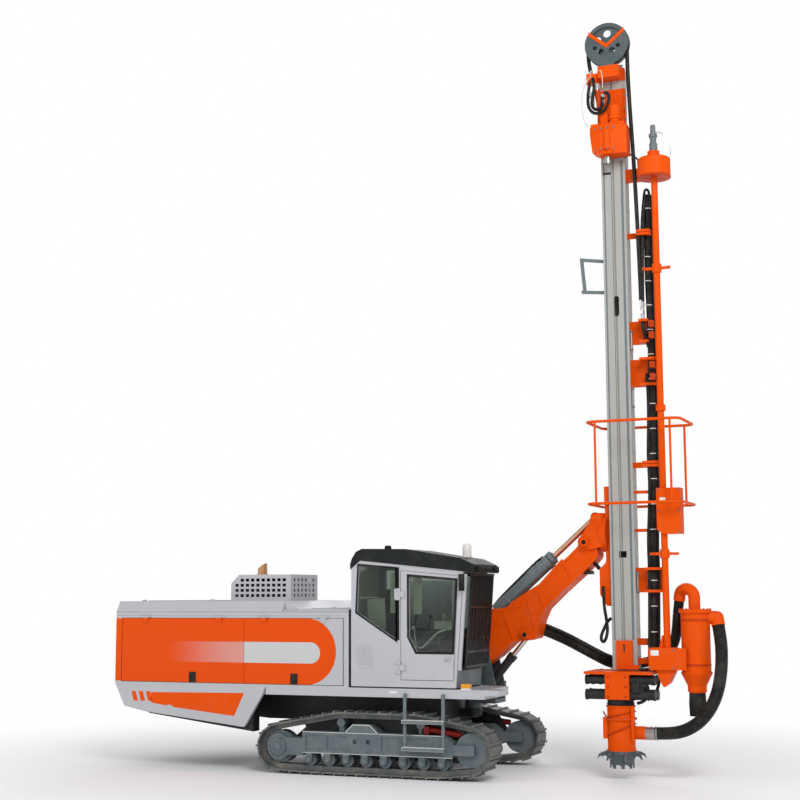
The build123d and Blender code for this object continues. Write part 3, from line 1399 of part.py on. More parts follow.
for count, low, high in ((19, guard_z[0], guard_bands[0] + 5), (7, *guard_bands),
                         (19, guard_bands[1] + 5, guard_z[1])):
    for number in range(count):
        y = guard_y[0] + 2 + number * (guard_y[1] - guard_y[0] - 18) / (count - 1)
        guard += slab_y([
            (cab_front(low) + guard_stand + 2, low),
            (cab_front(low) + guard_stand + guard_deep - 5, low),
            (cab_front(high) + guard_stand + guard_deep - 5, high),
            (cab_front(high) + guard_stand + 2, high),
        ], (y, y + 14))
keep("cab_guard", guard)

glass_y = (cab_wall - pane) / 2
panes = slab_y(rear_window, (cab_right_y + glass_y, cab_right_y + glass_y + pane))
panes += slab_y(left_window, (cab_left_y - glass_y - pane, cab_left_y - glass_y))
panes += slab_y([
    (cab_front(1500) - 30, 1500),
    (cab_front(1500) - 22, 1500),
    (cab_front(2740) - 22, 2740),
    (cab_front(2740) - 30, 2740),
], (cab_right_y + 80, cab_left_y - 80))
panes += box((cab_rear_x + glass_y, cab_rear_x + glass_y + pane), (cab_right_y + 120, cab_left_y - 120),
             (2450, 2850))
keep("cab_glass", panes)
keep("cab_door_glass", slab_y(door_window, (cab_right_y + glass_y, cab_right_y + glass_y + pane)))
ladder = Part()
ladder_y = -max(half_width, (gauge + shoe_width) / 2)
for x in (240, 800):
    ladder += box((x, x + 40), (ladder_y - 45, ladder_y - 15), (360, platform_low_z + 60))
    ladder += box((x, x + 40), (ladder_y - 45, -half_width - seat_gap),
                  (platform_low_z + 10, platform_low_z + 60))
for z in (776, 414):
    ladder += box((241, 839), (ladder_y - 105, ladder_y - 16), (z - 20, z + 20))
keep("ladder", ladder)
seat = box((0, 480), (-1000, -520), (1285 + seat_gap, 1700)) + box((0, 130), (-1000, -520), (1690, 2350))
keep("cab_seat", seat)
collector_x = (-500.0, 300.0)
collector_y = (480.0, 1240.0)
hopper_z = (1330.0, 1780.0)
collector = box(collector_x, collector_y, (hopper_z[1], 2640))
collector += box((collector_x[0] - 12, collector_x[1] + 12), (collector_y[0] - 8, collector_y[1] + 8),
                 (2600, 2700))
for low, high in ((collector_x[0], -100), (-100, collector_x[1])):
    top = Pos((low + high) / 2, sum(collector_y) / 2, hopper_z[1] + 1) * Rectangle(high - low, 740)
    bottom = Pos((low + high) / 2, sum(collector_y) / 2, hopper_z[0]) * Rectangle(150, 150)
    collector += loft(Sketch() + [bottom, top])
for x in (collector_x[0], collector_x[1] - 50):
    for y in (collector_y[0], collector_y[1] - 50):
        collector += box((x, x + 50), (y, y + 50), (platform_top_z + seat_gap, hopper_z[1] + 20))
keep("dust_collector", collector)
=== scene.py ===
import math

import bpy
import bmesh
from mathutils import Matrix, Vector


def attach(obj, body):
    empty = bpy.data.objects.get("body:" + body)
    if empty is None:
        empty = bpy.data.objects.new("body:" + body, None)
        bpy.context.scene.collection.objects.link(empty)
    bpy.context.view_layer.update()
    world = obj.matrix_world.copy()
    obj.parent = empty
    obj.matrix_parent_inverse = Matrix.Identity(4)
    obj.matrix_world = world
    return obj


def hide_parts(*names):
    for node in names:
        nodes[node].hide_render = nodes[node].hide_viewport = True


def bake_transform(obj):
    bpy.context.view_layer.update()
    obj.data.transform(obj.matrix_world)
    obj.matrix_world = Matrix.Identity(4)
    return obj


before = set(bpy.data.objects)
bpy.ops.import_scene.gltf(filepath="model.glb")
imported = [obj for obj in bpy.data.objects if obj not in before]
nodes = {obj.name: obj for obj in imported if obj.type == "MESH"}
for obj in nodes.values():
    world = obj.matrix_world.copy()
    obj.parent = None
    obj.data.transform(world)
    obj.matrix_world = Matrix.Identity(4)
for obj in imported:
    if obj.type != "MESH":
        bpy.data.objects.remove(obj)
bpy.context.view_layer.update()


# Camera and stage
# A plain pale floor under a white surround, seen from the photograph's standpoint.
# The camera stands low, to the right of the machine's cab, and looks slightly upward.
camera_place = Vector((7.99, -19.942, 2.477))
camera_azimuth = math.radians(22.636)
camera_pitch = math.radians(7.701)
camera_roll = math.radians(-0.238)
focal_share = 1448.8 / 800
sensor_width = 36.0


def placed(name, data):
    """A new object in the scene."""
    made = bpy.data.objects.new(name, data)
    bpy.context.collection.objects.link(made)
    return made


camera_data = bpy.data.cameras.new("camera")
camera_data.sensor_width = sensor_width
camera_data.lens = focal_share * sensor_width
camera_data.clip_end = 200
camera = placed("camera", camera_data)
camera.matrix_world = (Matrix.Translation(camera_place)
                       @ Matrix.Rotation(camera_azimuth, 4, "Z")
                       @ Matrix.Rotation(math.pi / 2 + camera_pitch, 4, "X")
                       @ Matrix.Rotation(camera_roll, 4, "Z"))
bpy.context.scene.camera = camera
bpy.context.scene.view_settings.view_transform = "Standard"


def feed(tree, made, inputs):
    """Sets a shader node's inputs, and links those whose value is another node's socket."""
    for name, value in inputs.items():
        if isinstance(value, bpy.types.NodeSocket):
            tree.links.new(value, made.inputs[name])
        else:
            made.inputs[name].default_value = value


def shade(tree, kind, inputs, **settings):
    """A new shader node with its settings and its inputs."""
    made = tree.nodes.new("ShaderNode" + kind)
    for name, value in settings.items():
        setattr(made, name, value)
    feed(tree, made, inputs)
    return made


def shader(name):
    """A new material with its node tree and its main shader."""
    material = bpy.data.materials.new(name)
    material.use_nodes = True
    tree = material.node_tree
    return material, tree, tree.nodes["Principled BSDF"]


world = bpy.data.worlds.new("studio")
bpy.context.scene.world = world
world.use_nodes = True
world_tree = world.node_tree
sky = world_tree.nodes["Background"]
feed(world_tree, sky, {"Color": (0.95, 0.97, 1.0, 1), "Strength": 0.52})
white = shade(world_tree, "Background", {"Color": (1, 1, 1, 1)})
path = shade(world_tree, "LightPath", {})
surround = shade(world_tree, "MixShader", {0: path.outputs["Is Camera Ray"],
                                           1: sky.outputs[0], 2: white.outputs[0]})
feed(world_tree, world_tree.nodes["World Output"], {0: surround.outputs[0]})

floor_mesh = bpy.data.meshes.new("floor")
floor_reach = 60.0
floor_mesh.from_pydata([(x * floor_reach, y * floor_reach, 0) for x, y in (
    (-1, -1), (1, -1), (1, 1), (-1, 1))], [], [(0, 1, 2, 3)])
floor = placed("floor", floor_mesh)
floor_paint, floor_tree, floor_shader = shader("studio_floor")
feed(floor_tree, floor_shader, {"Base Color": (0.95, 0.95, 0.95, 1), "Roughness": 0.95})
floor_place = shade(floor_tree, "TexCoord", {})
distance = shade(floor_tree, "VectorMath", {0: floor_place.outputs["Object"]}, operation="LENGTH")
fade_from, fade_to = 3.0, 11.0
fade_out = shade(floor_tree, "MapRange",
                 {"Value": distance.outputs["Value"], "From Min": fade_from, "From Max": fade_to},
                 interpolation_type="SMOOTHSTEP")
glow = shade(floor_tree, "Emission", {})
far_mix = shade(floor_tree, "MixShader", {0: fade_out.outputs["Result"],
                                          1: floor_shader.outputs[0], 2: glow.outputs[0]})
feed(floor_tree, floor_tree.nodes["Material Output"], {0: far_mix.outputs[0]})
floor_mesh.materials.append(floor_paint)

for name, place, size, power in (
    # lamp, where it hangs, edge length in metres, watts
    ("key", (12, -16, 16), 8.0, 2500),
    ("fill", (-12, -16, 8), 10.0, 650),
    ("back", (-4, 16, 12), 10.0, 700),
):
    lamp = bpy.data.lights.new(name, "AREA")
    lamp.size = size
    lamp.energy = power
    lamp_object = placed(name, lamp)
    lamp_object.location = place
    aim = Vector((0, 0, 3)) - Vector(place)
    lamp_object.rotation_euler = aim.to_track_quat("-Z", "Y").to_euler()


# Paints and other finishes
# Semi-gloss machine paints, bare and chromed steel, rubber and glass, all a little uneven: a soft
# noise varies colour and gloss, a fine one lifts the surface, and dry dust lies in thin patches.
def sight(red, green, blue):
    """A colour read from a picture, 0 to 255, as the linear values that shaders take."""
    return tuple((c / 255) / 12.92 if c <= 10 else ((c / 255 + 0.055) / 1.055) ** 2.4
                 for c in (red, green, blue)) + (1,)


def coat(name, colour, rough=0.4, metal=0.0, vary=0.06, bump=0.02, grain=220.0, gloss=0.0,
         shine=0.35, dust=0.05):
    """A finish whose colour, gloss and surface vary softly, with thin patches of dry dust."""
    material, tree, surface = shader(name)
    base = sight(*colour)[:3]
    place = shade(tree, "TexCoord", {}).outputs["Object"]

    def noise(scale, detail, roughness=0.5):
        return shade(tree, "TexNoise", {"Vector": place, "Scale": scale, "Detail": detail,
                                        "Roughness": roughness}).outputs["Fac"]

    cloud = noise(1.7, 6.0)
    tone = shade(tree, "Mix", {"A": tuple(c * (1 - vary) for c in base) + (1,),
                               "B": tuple(min(1.0, c * (1 + vary)) for c in base) + (1,),
                               "Factor": cloud}, data_type="RGBA")
    sheen = shade(tree, "MapRange", {"Value": cloud, "From Min": 0.3, "From Max": 0.7,
                                     "To Min": rough * 0.85, "To Max": min(1.0, rough * 1.25)})
    cover = shade(tree, "MapRange", {"Value": noise(5.0, 9.0, 0.65), "From Min": 0.45,
                                     "From Max": 0.72, "To Max": dust})
    dusty = shade(tree, "Mix", {"A": tone.outputs["Result"], "B": sight(150, 142, 130),
                                "Factor": cover.outputs["Result"]}, data_type="RGBA")
    lift = shade(tree, "Bump", {"Strength": bump * 4, "Distance": 0.0012,
                                "Height": noise(grain, 2.0)})
    feed(tree, surface, {
        "Base Color": dusty.outputs["Result"], "Roughness": sheen.outputs["Result"],
        "Normal": lift.outputs["Normal"], "Metallic": metal, "Coat Weight": gloss,
        "Specular IOR Level": shine, "Coat Roughness": 0.12})
    return material


white_coat = coat("white_coat", (182, 183, 187), 0.4, gloss=0.08)
orange_coat = coat("orange_coat", (228, 80, 0), 0.45, shine=0.08)
# The orange paint darkened: painted shade, on the small orange parts and the clamp housing's bolts.
shaded_orange = coat("shaded_orange", (188, 58, 0), 0.45, shine=0.15)
grey_coat = coat("grey_coat", (72, 82, 86), 0.45, dust=0.2)
steel_coat = coat("steel_coat", (104, 115, 119), 0.42, dust=0.2)
frame_coat = coat("frame_coat", (92, 104, 109), 0.45, vary=0.15, dust=0.4)
mast_coat = coat("mast_coat", (168, 168, 163), 0.42)
black_coat = coat("black_coat", (26, 29, 30), 0.45)
roof_coat = coat("roof_coat", (22, 26, 27), 0.5, shine=0.2)
track_iron = coat("track_iron", (94, 98, 98), 0.5, metal=0.3, vary=0.25, bump=0.12, grain=60,
                  dust=0.7)
rubber = coat("rubber", (24, 25, 24), 0.6, bump=0.04, shine=0.2, dust=0.12)
hose_black = coat("hose_black", (20, 20, 18), 0.5, bump=0.05, grain=400, shine=0.25, dust=0.12)
chrome = coat("chrome", (205, 200, 192), 0.12, metal=1.0, vary=0.02, bump=0.0)
# Chrome in a warm tone: a painted reflection, for the tilting cylinder's rod.
chrome_with_painted_reflection = coat("chrome_with_painted_reflection", (196, 150, 122), 0.2, metal=1.0, vary=0.04, bump=0.0)
bare_steel = coat("bare_steel", (170, 172, 170), 0.28, metal=0.9, vary=0.1)
zinc = coat("zinc", (196, 198, 196), 0.3, metal=0.8)
tan_steel = coat("tan_steel", (196, 150, 104), 0.35, metal=0.6, vary=0.2)
barrel_coat = coat("barrel_coat", (104, 114, 116), 0.34, gloss=0.15)
trim = coat("trim", (60, 62, 64), 0.7)
pale_trim = coat("pale_trim", (200, 204, 190), 0.7)
red_coat = coat("red_coat", (150, 26, 18), 0.45)
pale_lamp = coat("pale_lamp", (228, 226, 222), 0.25)
amber = coat("amber", (224, 150, 30), 0.2)
pane, pane_tree, pane_surface = shader("tinted_pane")
feed(pane_tree, pane_surface, {"Base Color": sight(196, 206, 197), "Roughness": 0.03, "IOR": 1.45,
                               "Transmission Weight": 1.0, "Specular IOR Level": 0.5})

for finish, names in (
    (orange_coat, "boom changer_arms cyclone cyclone_bracket drill_table dust_hood feed_cradle"
                  " feed_holder guard_cage hose_sled mast_guide mast_hose_clamps rod_changer"
                  " rotary_head"),
    (white_coat, "cab_door cab_shell dust_collector engine_house exhaust_cover main_frame"
                 " skirt_left skirt_right"),
    (black_coat, "cab_guard cooler_grille jaw_cylinders lift_cylinder_barrel"),
    (grey_coat, "foot_plate hose_wheel hose_wheel_guard swing_bracket"),
    (steel_coat, "compressor engine ladder mast_hose_frame"),
    (hose_black, "hood_hose mast_hose_bundle suction_hose"),
    (frame_coat, "track_frame_left track_frame_right"),
    (track_iron, "track_left track_right"), (pane, "cab_door_glass cab_glass"),
    (pale_lamp, "cab_lamps"), (roof_coat, "cab_roof"), (trim, "cab_seat"),
    (rubber, "cyclone_sock"), (tan_steel, "exhaust_stub"), (chrome, "lift_cylinder_rod"),
    (mast_coat, "mast_beam"), (bare_steel, "spindle"), (barrel_coat, "tilt_cylinder_barrel"),
    # The tilting cylinder's chromed rod, its warm tone a painted reflection.
    (chrome_with_painted_reflection, "tilt_cylinder_rod"),
):
    for name in names.split():
        nodes[name].data.materials.clear()
        nodes[name].data.materials.append(finish)
sharp_from = math.radians(32)
for node in nodes.values():
    node.data.polygons.foreach_set("use_smooth", [True] * len(node.data.polygons))
    node.data.set_sharp_from_angle(angle=sharp_from)


def round_edges(target, width, harden=False):
    """Rounds an object's sharp edges, so that they catch the light."""
    bevel = target.modifiers.new("edges", "BEVEL")
    bevel.width = width
    bevel.segments = 2
    bevel.limit_method = "ANGLE"
    bevel.angle_limit = math.radians(40)
    bevel.harden_normals = harden


for width, names in (
    # width of the rounded edge in metres, nodes that have it
    (0.003, "hose_sled"), (0.004, "drill_table"), (0.005, "cab_door feed_holder swing_bracket"),
    (0.006, "boom feed_cradle main_frame changer_arms skirt_left skirt_right"
            " track_frame_left track_frame_right"),
    (0.007, "rotary_head"), (0.008, "cab_shell"), (0.01, "dust_collector"),
    (0.012, "engine_house exhaust_cover"), (0.03, "cab_roof"),
):
    for name in names.split():
        round_edges(nodes[name], width, True)


# Mesh makers
# Each returns points and faces, so that many small things can be joined into one piece
# before it is placed on the body that carries it.
def block(x, y, z):
    points = [(i, j, k) for i in x for j in y for k in z]
    faces = [(0, 1, 3, 2), (4, 6, 7, 5), (0, 4, 5, 1), (2, 3, 7, 6), (0, 2, 6, 4), (1, 5, 7, 3)]
    return points, faces


def raised(outline, axis, depth):
    """An outline's points at a depth along an axis, given in the order of the two other axes."""
    points = []
    for first, second in outline:
        point = [first, second]
        point.insert("xyz".index(axis), depth)
        points.append(tuple(point))
    return points


def slab(outline, axis, span):
    """An outline with a thickness along an axis."""
    count = len(outline)
    faces = [tuple(range(count)), tuple(reversed(range(count, 2 * count)))]
    faces += [(i, i + count, (i + 1) % count + count, (i + 1) % count) for i in range(count)]
    return raised(outline, axis, span[0]) + raised(outline, axis, span[1]), faces


def border(outline, width, axis, span):
    """A flat frame that runs round outside an outline."""
    count = len(outline)
    area = sum(a[0] * b[1] - b[0] * a[1] for a, b in zip(outline, outline[1:] + outline[:1]))
    turn = 1 if area > 0 else -1
    outer = []
    for before, here, after in zip(outline[-1:] + outline[:-1], outline, outline[1:] + outline[:1]):
        normals = []
        for start, end in ((before, here), (here, after)):
            run = Vector((end[0] - start[0], end[1] - start[1])).normalized()
            normals.append(Vector((run.y, -run.x)) * turn)
        mitre = (normals[0] + normals[1]).normalized()
        reach = width / max(0.4, mitre.dot(normals[0]))
        outer.append((here[0] + mitre.x * reach, here[1] + mitre.y * reach))
    points = []
    for depth in span:
        points += raised(outline, axis, depth) + raised(outer, axis, depth)
    faces = []
    for i in range(count):
        j = (i + 1) % count
        for a, b in ((0, 1), (1, 3), (3, 2), (2, 0)):
            faces.append((a * count + i, a * count + j, b * count + j, b * count + i))
    return points, faces


def skin(points, sides):
    """The faces of a tube whose points are given ring by ring, with a cap at each end."""
    faces = [tuple(reversed(range(sides)))]
    for start in range(0, len(points) - sides, sides):
        for i in range(sides):
            j = (i + 1) % sides
            faces.append((start + i, start + j, start + sides + j, start + sides + i))
    faces.append(tuple(range(len(points) - sides, len(points))))
    return faces


def lathe(start, end, profile, sides=24):
    """Rings of (share of the way, radius) about the line from start to end, closed by caps."""
    start, end = Vector(start), Vector(end)
    way = end - start
    across = way.orthogonal().normalized()
    over = way.normalized().cross(across)
    points = []
    for share, radius in profile:
        for i in range(sides):
            angle = 2 * math.pi * i / sides
            points.append(tuple(start + way * share + (across * math.cos(angle)
                                                       + over * math.sin(angle)) * radius))
    return points, skin(points, sides)


def bar(start, end, radius, sides=16):
    return lathe(start, end, [(0, radius), (1, radius)], sides)


def ball(middle, radius, sides=12):
    low = Vector(middle) - Vector((0, 0, radius))
    high = Vector(middle) + Vector((0, 0, radius))
    steps = sides // 2
    profile = [((1 - math.cos(math.pi * i / steps)) / 2,
                max(0.0005, radius * math.sin(math.pi * i / steps))) for i in range(steps + 1)]
    return lathe(low, high, profile, sides)


def circle(middle, radius, count):
    """Evenly spaced points on a circle, as pairs."""
    turns = [2 * math.pi * i / count for i in range(count)]
    return [(middle[0] + radius * math.cos(a), middle[1] + radius * math.sin(a)) for a in turns]


def bolts(places, way, radius, height):
    """Six-sided bolt heads that stand on a surface, each on a thin round washer."""
    way = Vector(way)
    parts = []
    for place in places:
        place = Vector(place)
        parts.append(bar(place - way * 0.002, place + way * height * 0.2, radius * 1.35, 12))
        parts.append(bar(place + way * height * 0.15, place + way * height, radius, 6))
    return parts


def tube(route, radius, sides=12, ribs=None):
    """A round tube along points, with ribs as (spacing, height) where it is corrugated."""
    points = [Vector(p) for p in route]
    if ribs:
        dense = [points[0]]
        for here, after in zip(points, points[1:]):
            steps = max(1, round((after - here).length / (ribs[0] / 4)))
            dense += [here.lerp(after, (i + 1) / steps) for i in range(steps)]
        points = dense
    tangents = [(points[min(i + 1, len(points) - 1)] - points[max(i - 1, 0)]).normalized()
                for i in range(len(points))]
    across = tangents[0].orthogonal().normalized()
    rings = []
    gone = 0.0
    for i, (point, tangent) in enumerate(zip(points, tangents)):
        across = (across - tangent * across.dot(tangent)).normalized()
        over = tangent.cross(across)
        if i:
            gone += (point - points[i - 1]).length
        reach = radius
        if ribs:
            reach += ribs[1] * math.cos(2 * math.pi * gone / ribs[0]) - ribs[1]
        rings += [tuple(point + (across * math.cos(2 * math.pi * k / sides)
                                 + over * math.sin(2 * math.pi * k / sides)) * reach)
                  for k in range(sides)]
    return rings, skin(rings, sides)


def spline_points(route, fineness=8):
    """Points along a smooth NURBS line that has the route's points as its control points."""
    data = bpy.data.curves.new("route", "CURVE")
    data.dimensions = "3D"
    spline = data.splines.new("NURBS")
    spline.points.add(len(route) - 1)
    for point, place in zip(spline.points, route):
        point.co = (*place, 1)
    spline.order_u = 3
    spline.use_endpoint_u = True
    spline.resolution_u = fineness
    line = bpy.data.objects.new("route", data)
    mesh = bpy.data.meshes.new_from_object(line)
    points = [vertex.co.copy() for vertex in mesh.vertices]
    bpy.data.objects.remove(line)
    bpy.data.meshes.remove(mesh)
    bpy.data.curves.remove(data)
    return points


def piece(name, parts, finish, body=None, edge=0.0):
    """One object from a list of points and faces, on the body that carries it."""
    points, faces = [], []
    for part_points, part_faces in parts:
        start = len(points)
        points += part_points
        faces += [tuple(i + start for i in face) for face in part_faces]
    mesh = bpy.data.meshes.new(name)
    mesh.from_pydata([tuple(p) for p in points], [], faces)
    work = bmesh.new()
    work.from_mesh(mesh)
    bmesh.ops.recalc_face_normals(work, faces=work.faces)
    work.to_mesh(mesh)
    work.free()
    mesh.polygons.foreach_set("use_smooth", [True] * len(mesh.polygons))
    mesh.set_sharp_from_angle(angle=math.radians(40))
    mesh.materials.append(finish)
    made = placed(name, mesh)
    if edge:
        round_edges(made, edge)
    if body:
        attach(made, body)
    return made


def hose(name, routes, radius, sides, body=None, finish=hose_black, fineness=8, ribs=None):
    """Tubes along smooth lines through the routes, as one piece."""
    tubes = [tube(spline_points(route, fineness), radius, sides, ribs) for route in routes]
    return piece(name, tubes, finish, body)


# Engine doors
# Steel doors hung along their top edge. Their orange field ends in a half circle towards the
# cab, and a pale stripe with a round end runs back through it and fades on the rear door.
field_end_x = -0.794
field_middle_z = 1.7025
field_radius = 0.468
stripe_end_x = -1.043
stripe_middle_z = 1.682
stripe_radius = 0.148
door_split_x = -2.26
fade_end_x = -3.62
fade_share = 0.45
door_paint, door_tree, door_surface = shader("door_paint")
door_place = shade(door_tree, "TexCoord", {})
door_axes = shade(door_tree, "SeparateXYZ", {0: door_place.outputs["Object"]})
door_x = door_axes.outputs["X"]


def sums(operation, *terms):
    """One math node of the doors' paint, fed by sockets or plain numbers."""
    return shade(door_tree, "Math", dict(enumerate(terms)), operation=operation).outputs[0]


def round_ended(end_x, middle_z, radius):
    """One inside a band that runs to the rear and has a half-circle front end, else zero."""
    past = sums("MAXIMUM", sums("SUBTRACT", door_x, end_x - radius), 0.0)
    rise = sums("SUBTRACT", door_axes.outputs["Z"], middle_z)
    reach = sums("SQRT", sums("ADD", sums("MULTIPLY", past, past), sums("MULTIPLY", rise, rise)))
    return sums("LESS_THAN", reach, radius)


field = round_ended(field_end_x, field_middle_z, field_radius)
stripe = round_ended(stripe_end_x, stripe_middle_z, stripe_radius)
fade = shade(door_tree, "MapRange", {"Value": door_x, "From Min": fade_end_x,
                                     "From Max": door_split_x, "To Max": fade_share},
             interpolation_type="SMOOTHSTEP")
solid = sums("GREATER_THAN", door_x, door_split_x)
stripe_share = sums("MULTIPLY", stripe, sums("MAXIMUM", fade.outputs["Result"], solid))
field_mix = shade(door_tree, "Mix", {"A": sight(182, 183, 187), "B": sight(224, 76, 0),
                                     "Factor": field}, data_type="RGBA")
stripe_mix = shade(door_tree, "Mix", {"A": field_mix.outputs["Result"], "B": sight(196, 196, 196),
                                      "Factor": stripe_share}, data_type="RGBA")
feed(door_tree, door_surface, {"Base Color": stripe_mix.outputs["Result"], "Roughness": 0.38,
                               "Coat Weight": 0.05, "Specular IOR Level": 0.1})
half_width = 1.25
latch_places = {"rear": -3.108, "front": -1.45}
for row, side in (("right", -1), ("left", 1)):
    for place, latch_x in latch_places.items():
        node = nodes[f"engine_door_{row}_{place}"]
        node.data.materials.clear()
        node.data.materials.append(door_paint)
        wall = (side * half_width, side * (half_width + 0.012))
        deep = (side * half_width, side * (half_width + 0.022))
        latch = [
            block((latch_x - 0.055, latch_x + 0.055), wall, (1.244, 1.39)),
            block((latch_x - 0.03, latch_x + 0.03), deep, (1.262, 1.325)),
            block((latch_x - 0.022, latch_x + 0.022), deep, (1.345, 1.375)),
        ]
        piece(f"latch_{row}_{place}", latch, rubber, f"door_{row}_{place}", 0.003)
door_z = (1.24, 2.165)
door_gaps = []
for side in (-1, 1):
    out = (side * (half_width - 0.03), side * (half_width + 0.002))
    door_gaps.append(block((-4.34, -0.67), out, (1.2335, 1.2392)))
    door_gaps.append(block((-0.6775, -0.672), out, door_z))
    door_gaps.append(block((-4.3375, -4.332), out, door_z))
piece("door_seams", door_gaps, rubber, "chassis")


# Engine house trim
# Folded sheet panels round the engine: a flush hatch and lifting eyes on the roof, a screen
# at the rear, seams between the sheets, and painted fields on the skirts below.
roof_top = 2.415
front_roof_top = 2.3
hatches = [
    block((-2.953, -2.8), (-1.12, -0.78), (roof_top, roof_top + 0.012)),
    block((-4.2, -3.1), (-0.75, 0.75), (roof_top, roof_top + 0.009)),
    block((-1.35, -0.7), (-0.9, 0.9), (front_roof_top, front_roof_top + 0.008)),
]
piece("roof_hatches", hatches, white_coat, "chassis", 0.004)
sheet_seams = []
for side in (-1, 1):
    out = (side * (half_width - 0.001), side * (half_width + 0.0012))
    sheet_seams.append(block((-4.43, -0.61), out, (2.253, 2.2565)))
    sheet_seams.append(block((-4.43, -0.61), out, (2.2, 2.2025)))
    sheet_seams.append(block((-0.6895, -0.6865), out, (1.235, 2.145)))
piece("house_seams", sheet_seams, grey_coat, "chassis")
eyes = []
for x, top in ((-4.1, roof_top), (-0.95, front_roof_top)):
    for y in (-1.02, 1.02):
        eyes.append(bar((x, y, top - 0.002), (x, y, top + 0.02), 0.035))
piece("lifting_eyes", eyes, zinc, "chassis")
screen = []
slot_count = 36
for number in range(slot_count):
    y = -0.88 + number * 1.76 / (slot_count - 1)
    screen.append(block((-4.4408, -4.4365), (y - 0.004, y + 0.004), (1.41, 2.11)))
for z in (1.42, 1.76, 2.1):
    screen.append(block((-4.441, -4.4355), (-0.895, 0.895), (z - 0.008, z + 0.008)))
screen += bolts([(-4.44, y, z) for y in (-0.94, -0.47, 0, 0.47, 0.94) for z in (1.375, 2.145)],
                (-1, 0, 0), 0.011, 0.001)
piece("rear_screen", screen, black_coat, "chassis")
rear_lamps = [block((-4.4415, -4.43), (y - 0.09, y + 0.09), (1.27, 1.33)) for y in (-1.05, 1.05)]
piece("rear_lamps", rear_lamps, red_coat, "chassis", 0.004)
fields = []
slants = []
lining = []
for side in (-1, 1):
    film = (side * (half_width - 0.0004), side * (half_width + 0.0008))
    fields.append(slab([(-3.811, 1.085), (-2.252, 1.104), (-2.411, 0.775), (-3.41, 0.876),
                        (-3.481, 0.912), (-3.56, 0.898), (-3.8, 0.932)], "y", film))
    fields.append(block((-4.4398, -4.3385), film, (1.242, 2.163)))
    for x in (-4.15, -4.025, -3.9):
        slants.append(slab([(x, 1.095), (x + 0.075, 1.095), (x + 0.115, 0.955), (x + 0.04, 0.955)],
                           "y", film))
    lining.append(slab([(-4.43, 1.2145), (-4.262, 0.878), (-3.8, 0.785), (-2.24, 0.616),
                        (-2.22, 0.632), (-3.82, 0.8), (-4.27, 0.892)], "y",
                       (side * 1.2, side * 1.2475)))
    lining.append(slab([(-3.88, 0.83), (-3.88, 0.778), (-2.24, 0.575), (-2.13, 0.56),
                        (-2.13, 0.8), (-2.3, 1.05), (-3.88, 1.05)], "y", (side, side * 1.19)))
    lining.append(slab([(-1.62, 0.45), (-1.2, 0.79), (0.8, 0.79), (1.0, 0.5), (0.9, 0.3),
                        (-1.5, 0.3)], "y", (side * 0.97, side * 0.975)))
piece("skirt_fields", fields + slants, orange_coat, "chassis")
piece("skirt_edges", lining, black_coat, "chassis")
piece("silencer", [block((-2.7, -1.85), (-0.6, 0.1), (2.418, 2.74))], black_coat, "chassis", 0.05)
piece("outlet_collar", [bar((-2.474, -0.3, 2.8), (-2.474, -0.3, 2.815), 0.084, 24)], tan_steel,
      "chassis")


# Cab glazing
# Tinted panes in black rubber gaskets, in a welded shell with a hinged door. The door's pane
# has a cut lower corner and the rear side pane slopes down to the front.
cab_side = -1.25
rear_pane = [(-0.47, 2.256), (0.113, 1.888), (0.113, 2.85), (-0.44, 2.9)]
door_pane = [(0.32, 1.92), (0.43, 1.719), (0.945, 1.719), (1.0, 2.68), (0.32, 2.74)]
far_pane = [(-0.44, 1.9), (0.9, 1.9), (0.96, 2.74), (-0.44, 2.85)]
back_pane = [(-1.13, 2.45), (-0.37, 2.45), (-0.37, 2.85), (-1.13, 2.85)]
near = (cab_side - 0.0035, cab_side + 0.0015)
gaskets = [border(rear_pane, 0.028, "y", near), border(far_pane, 0.03, "y", (-0.2515, -0.2465)),
           block((0.113, 0.172), near, (1.872, 2.872))]
piece("side_gaskets", gaskets, rubber, "chassis", 0.002)
piece("door_gasket", [border(door_pane, 0.034, "y", near)], rubber, "door_cab", 0.002)


def front_x(z):
    """The cab's leaning front, from its foot to its top edge."""
    return 1.0 + (z - 1.235) / (2.805 - 1.235) * 0.12


def leaning(z, ahead, y):
    """An upright or a strip that leans with the cab's front, a little way ahead of it."""
    outline = [(front_x(z[0]) + ahead[0], z[0]), (front_x(z[1]) + ahead[0], z[1]),
               (front_x(z[1]) + ahead[1], z[1]), (front_x(z[0]) + ahead[1], z[0])]
    return slab(outline, "y", y)


seal = (0, 0.006)
front_seals = [leaning((1.47, 2.77), seal, y) for y in ((-1.2, -1.155), (-0.345, -0.3))]
front_seals += [leaning((z, z + 0.035), seal, (-1.2, -0.3)) for z in (1.46, 2.742)]
front_seals.append(border(back_pane, 0.03, "x", (-0.5635, -0.5585)))
piece("front_gaskets", front_seals, rubber, "chassis", 0.002)
door_line = [block(x, (cab_side + 0.0005, cab_side - 0.0005), z)
             for x, z in (((0.19, 0.1955), (1.335, 2.82)), ((0.966, 0.97), (1.335, 1.62)),
                          ((0.19, 0.97), (1.331, 1.336)))]
piece("door_edge_line", door_line, rubber, "chassis")
hinge_face = cab_side - 0.012
hinges = []
for z in (1.5, 2.5):
    hinges.append(block((0.1, 0.172), (hinge_face, cab_side), (z - 0.075, z + 0.075)))
    hinges += bolts([(0.12, hinge_face, z - 0.045), (0.12, hinge_face, z + 0.045)],
                    (0, -1, 0), 0.009, 0.007)
piece("hinge_plates", hinges, white_coat, "chassis", 0.003)
handle = [block((0.845, 0.925), (hinge_face, cab_side + 0.001), (1.6, 1.66)),
          block((0.85, 0.905), (hinge_face - 0.023, hinge_face), (1.618, 1.642))]
piece("door_handle", handle, white_coat, "door_cab", 0.003)


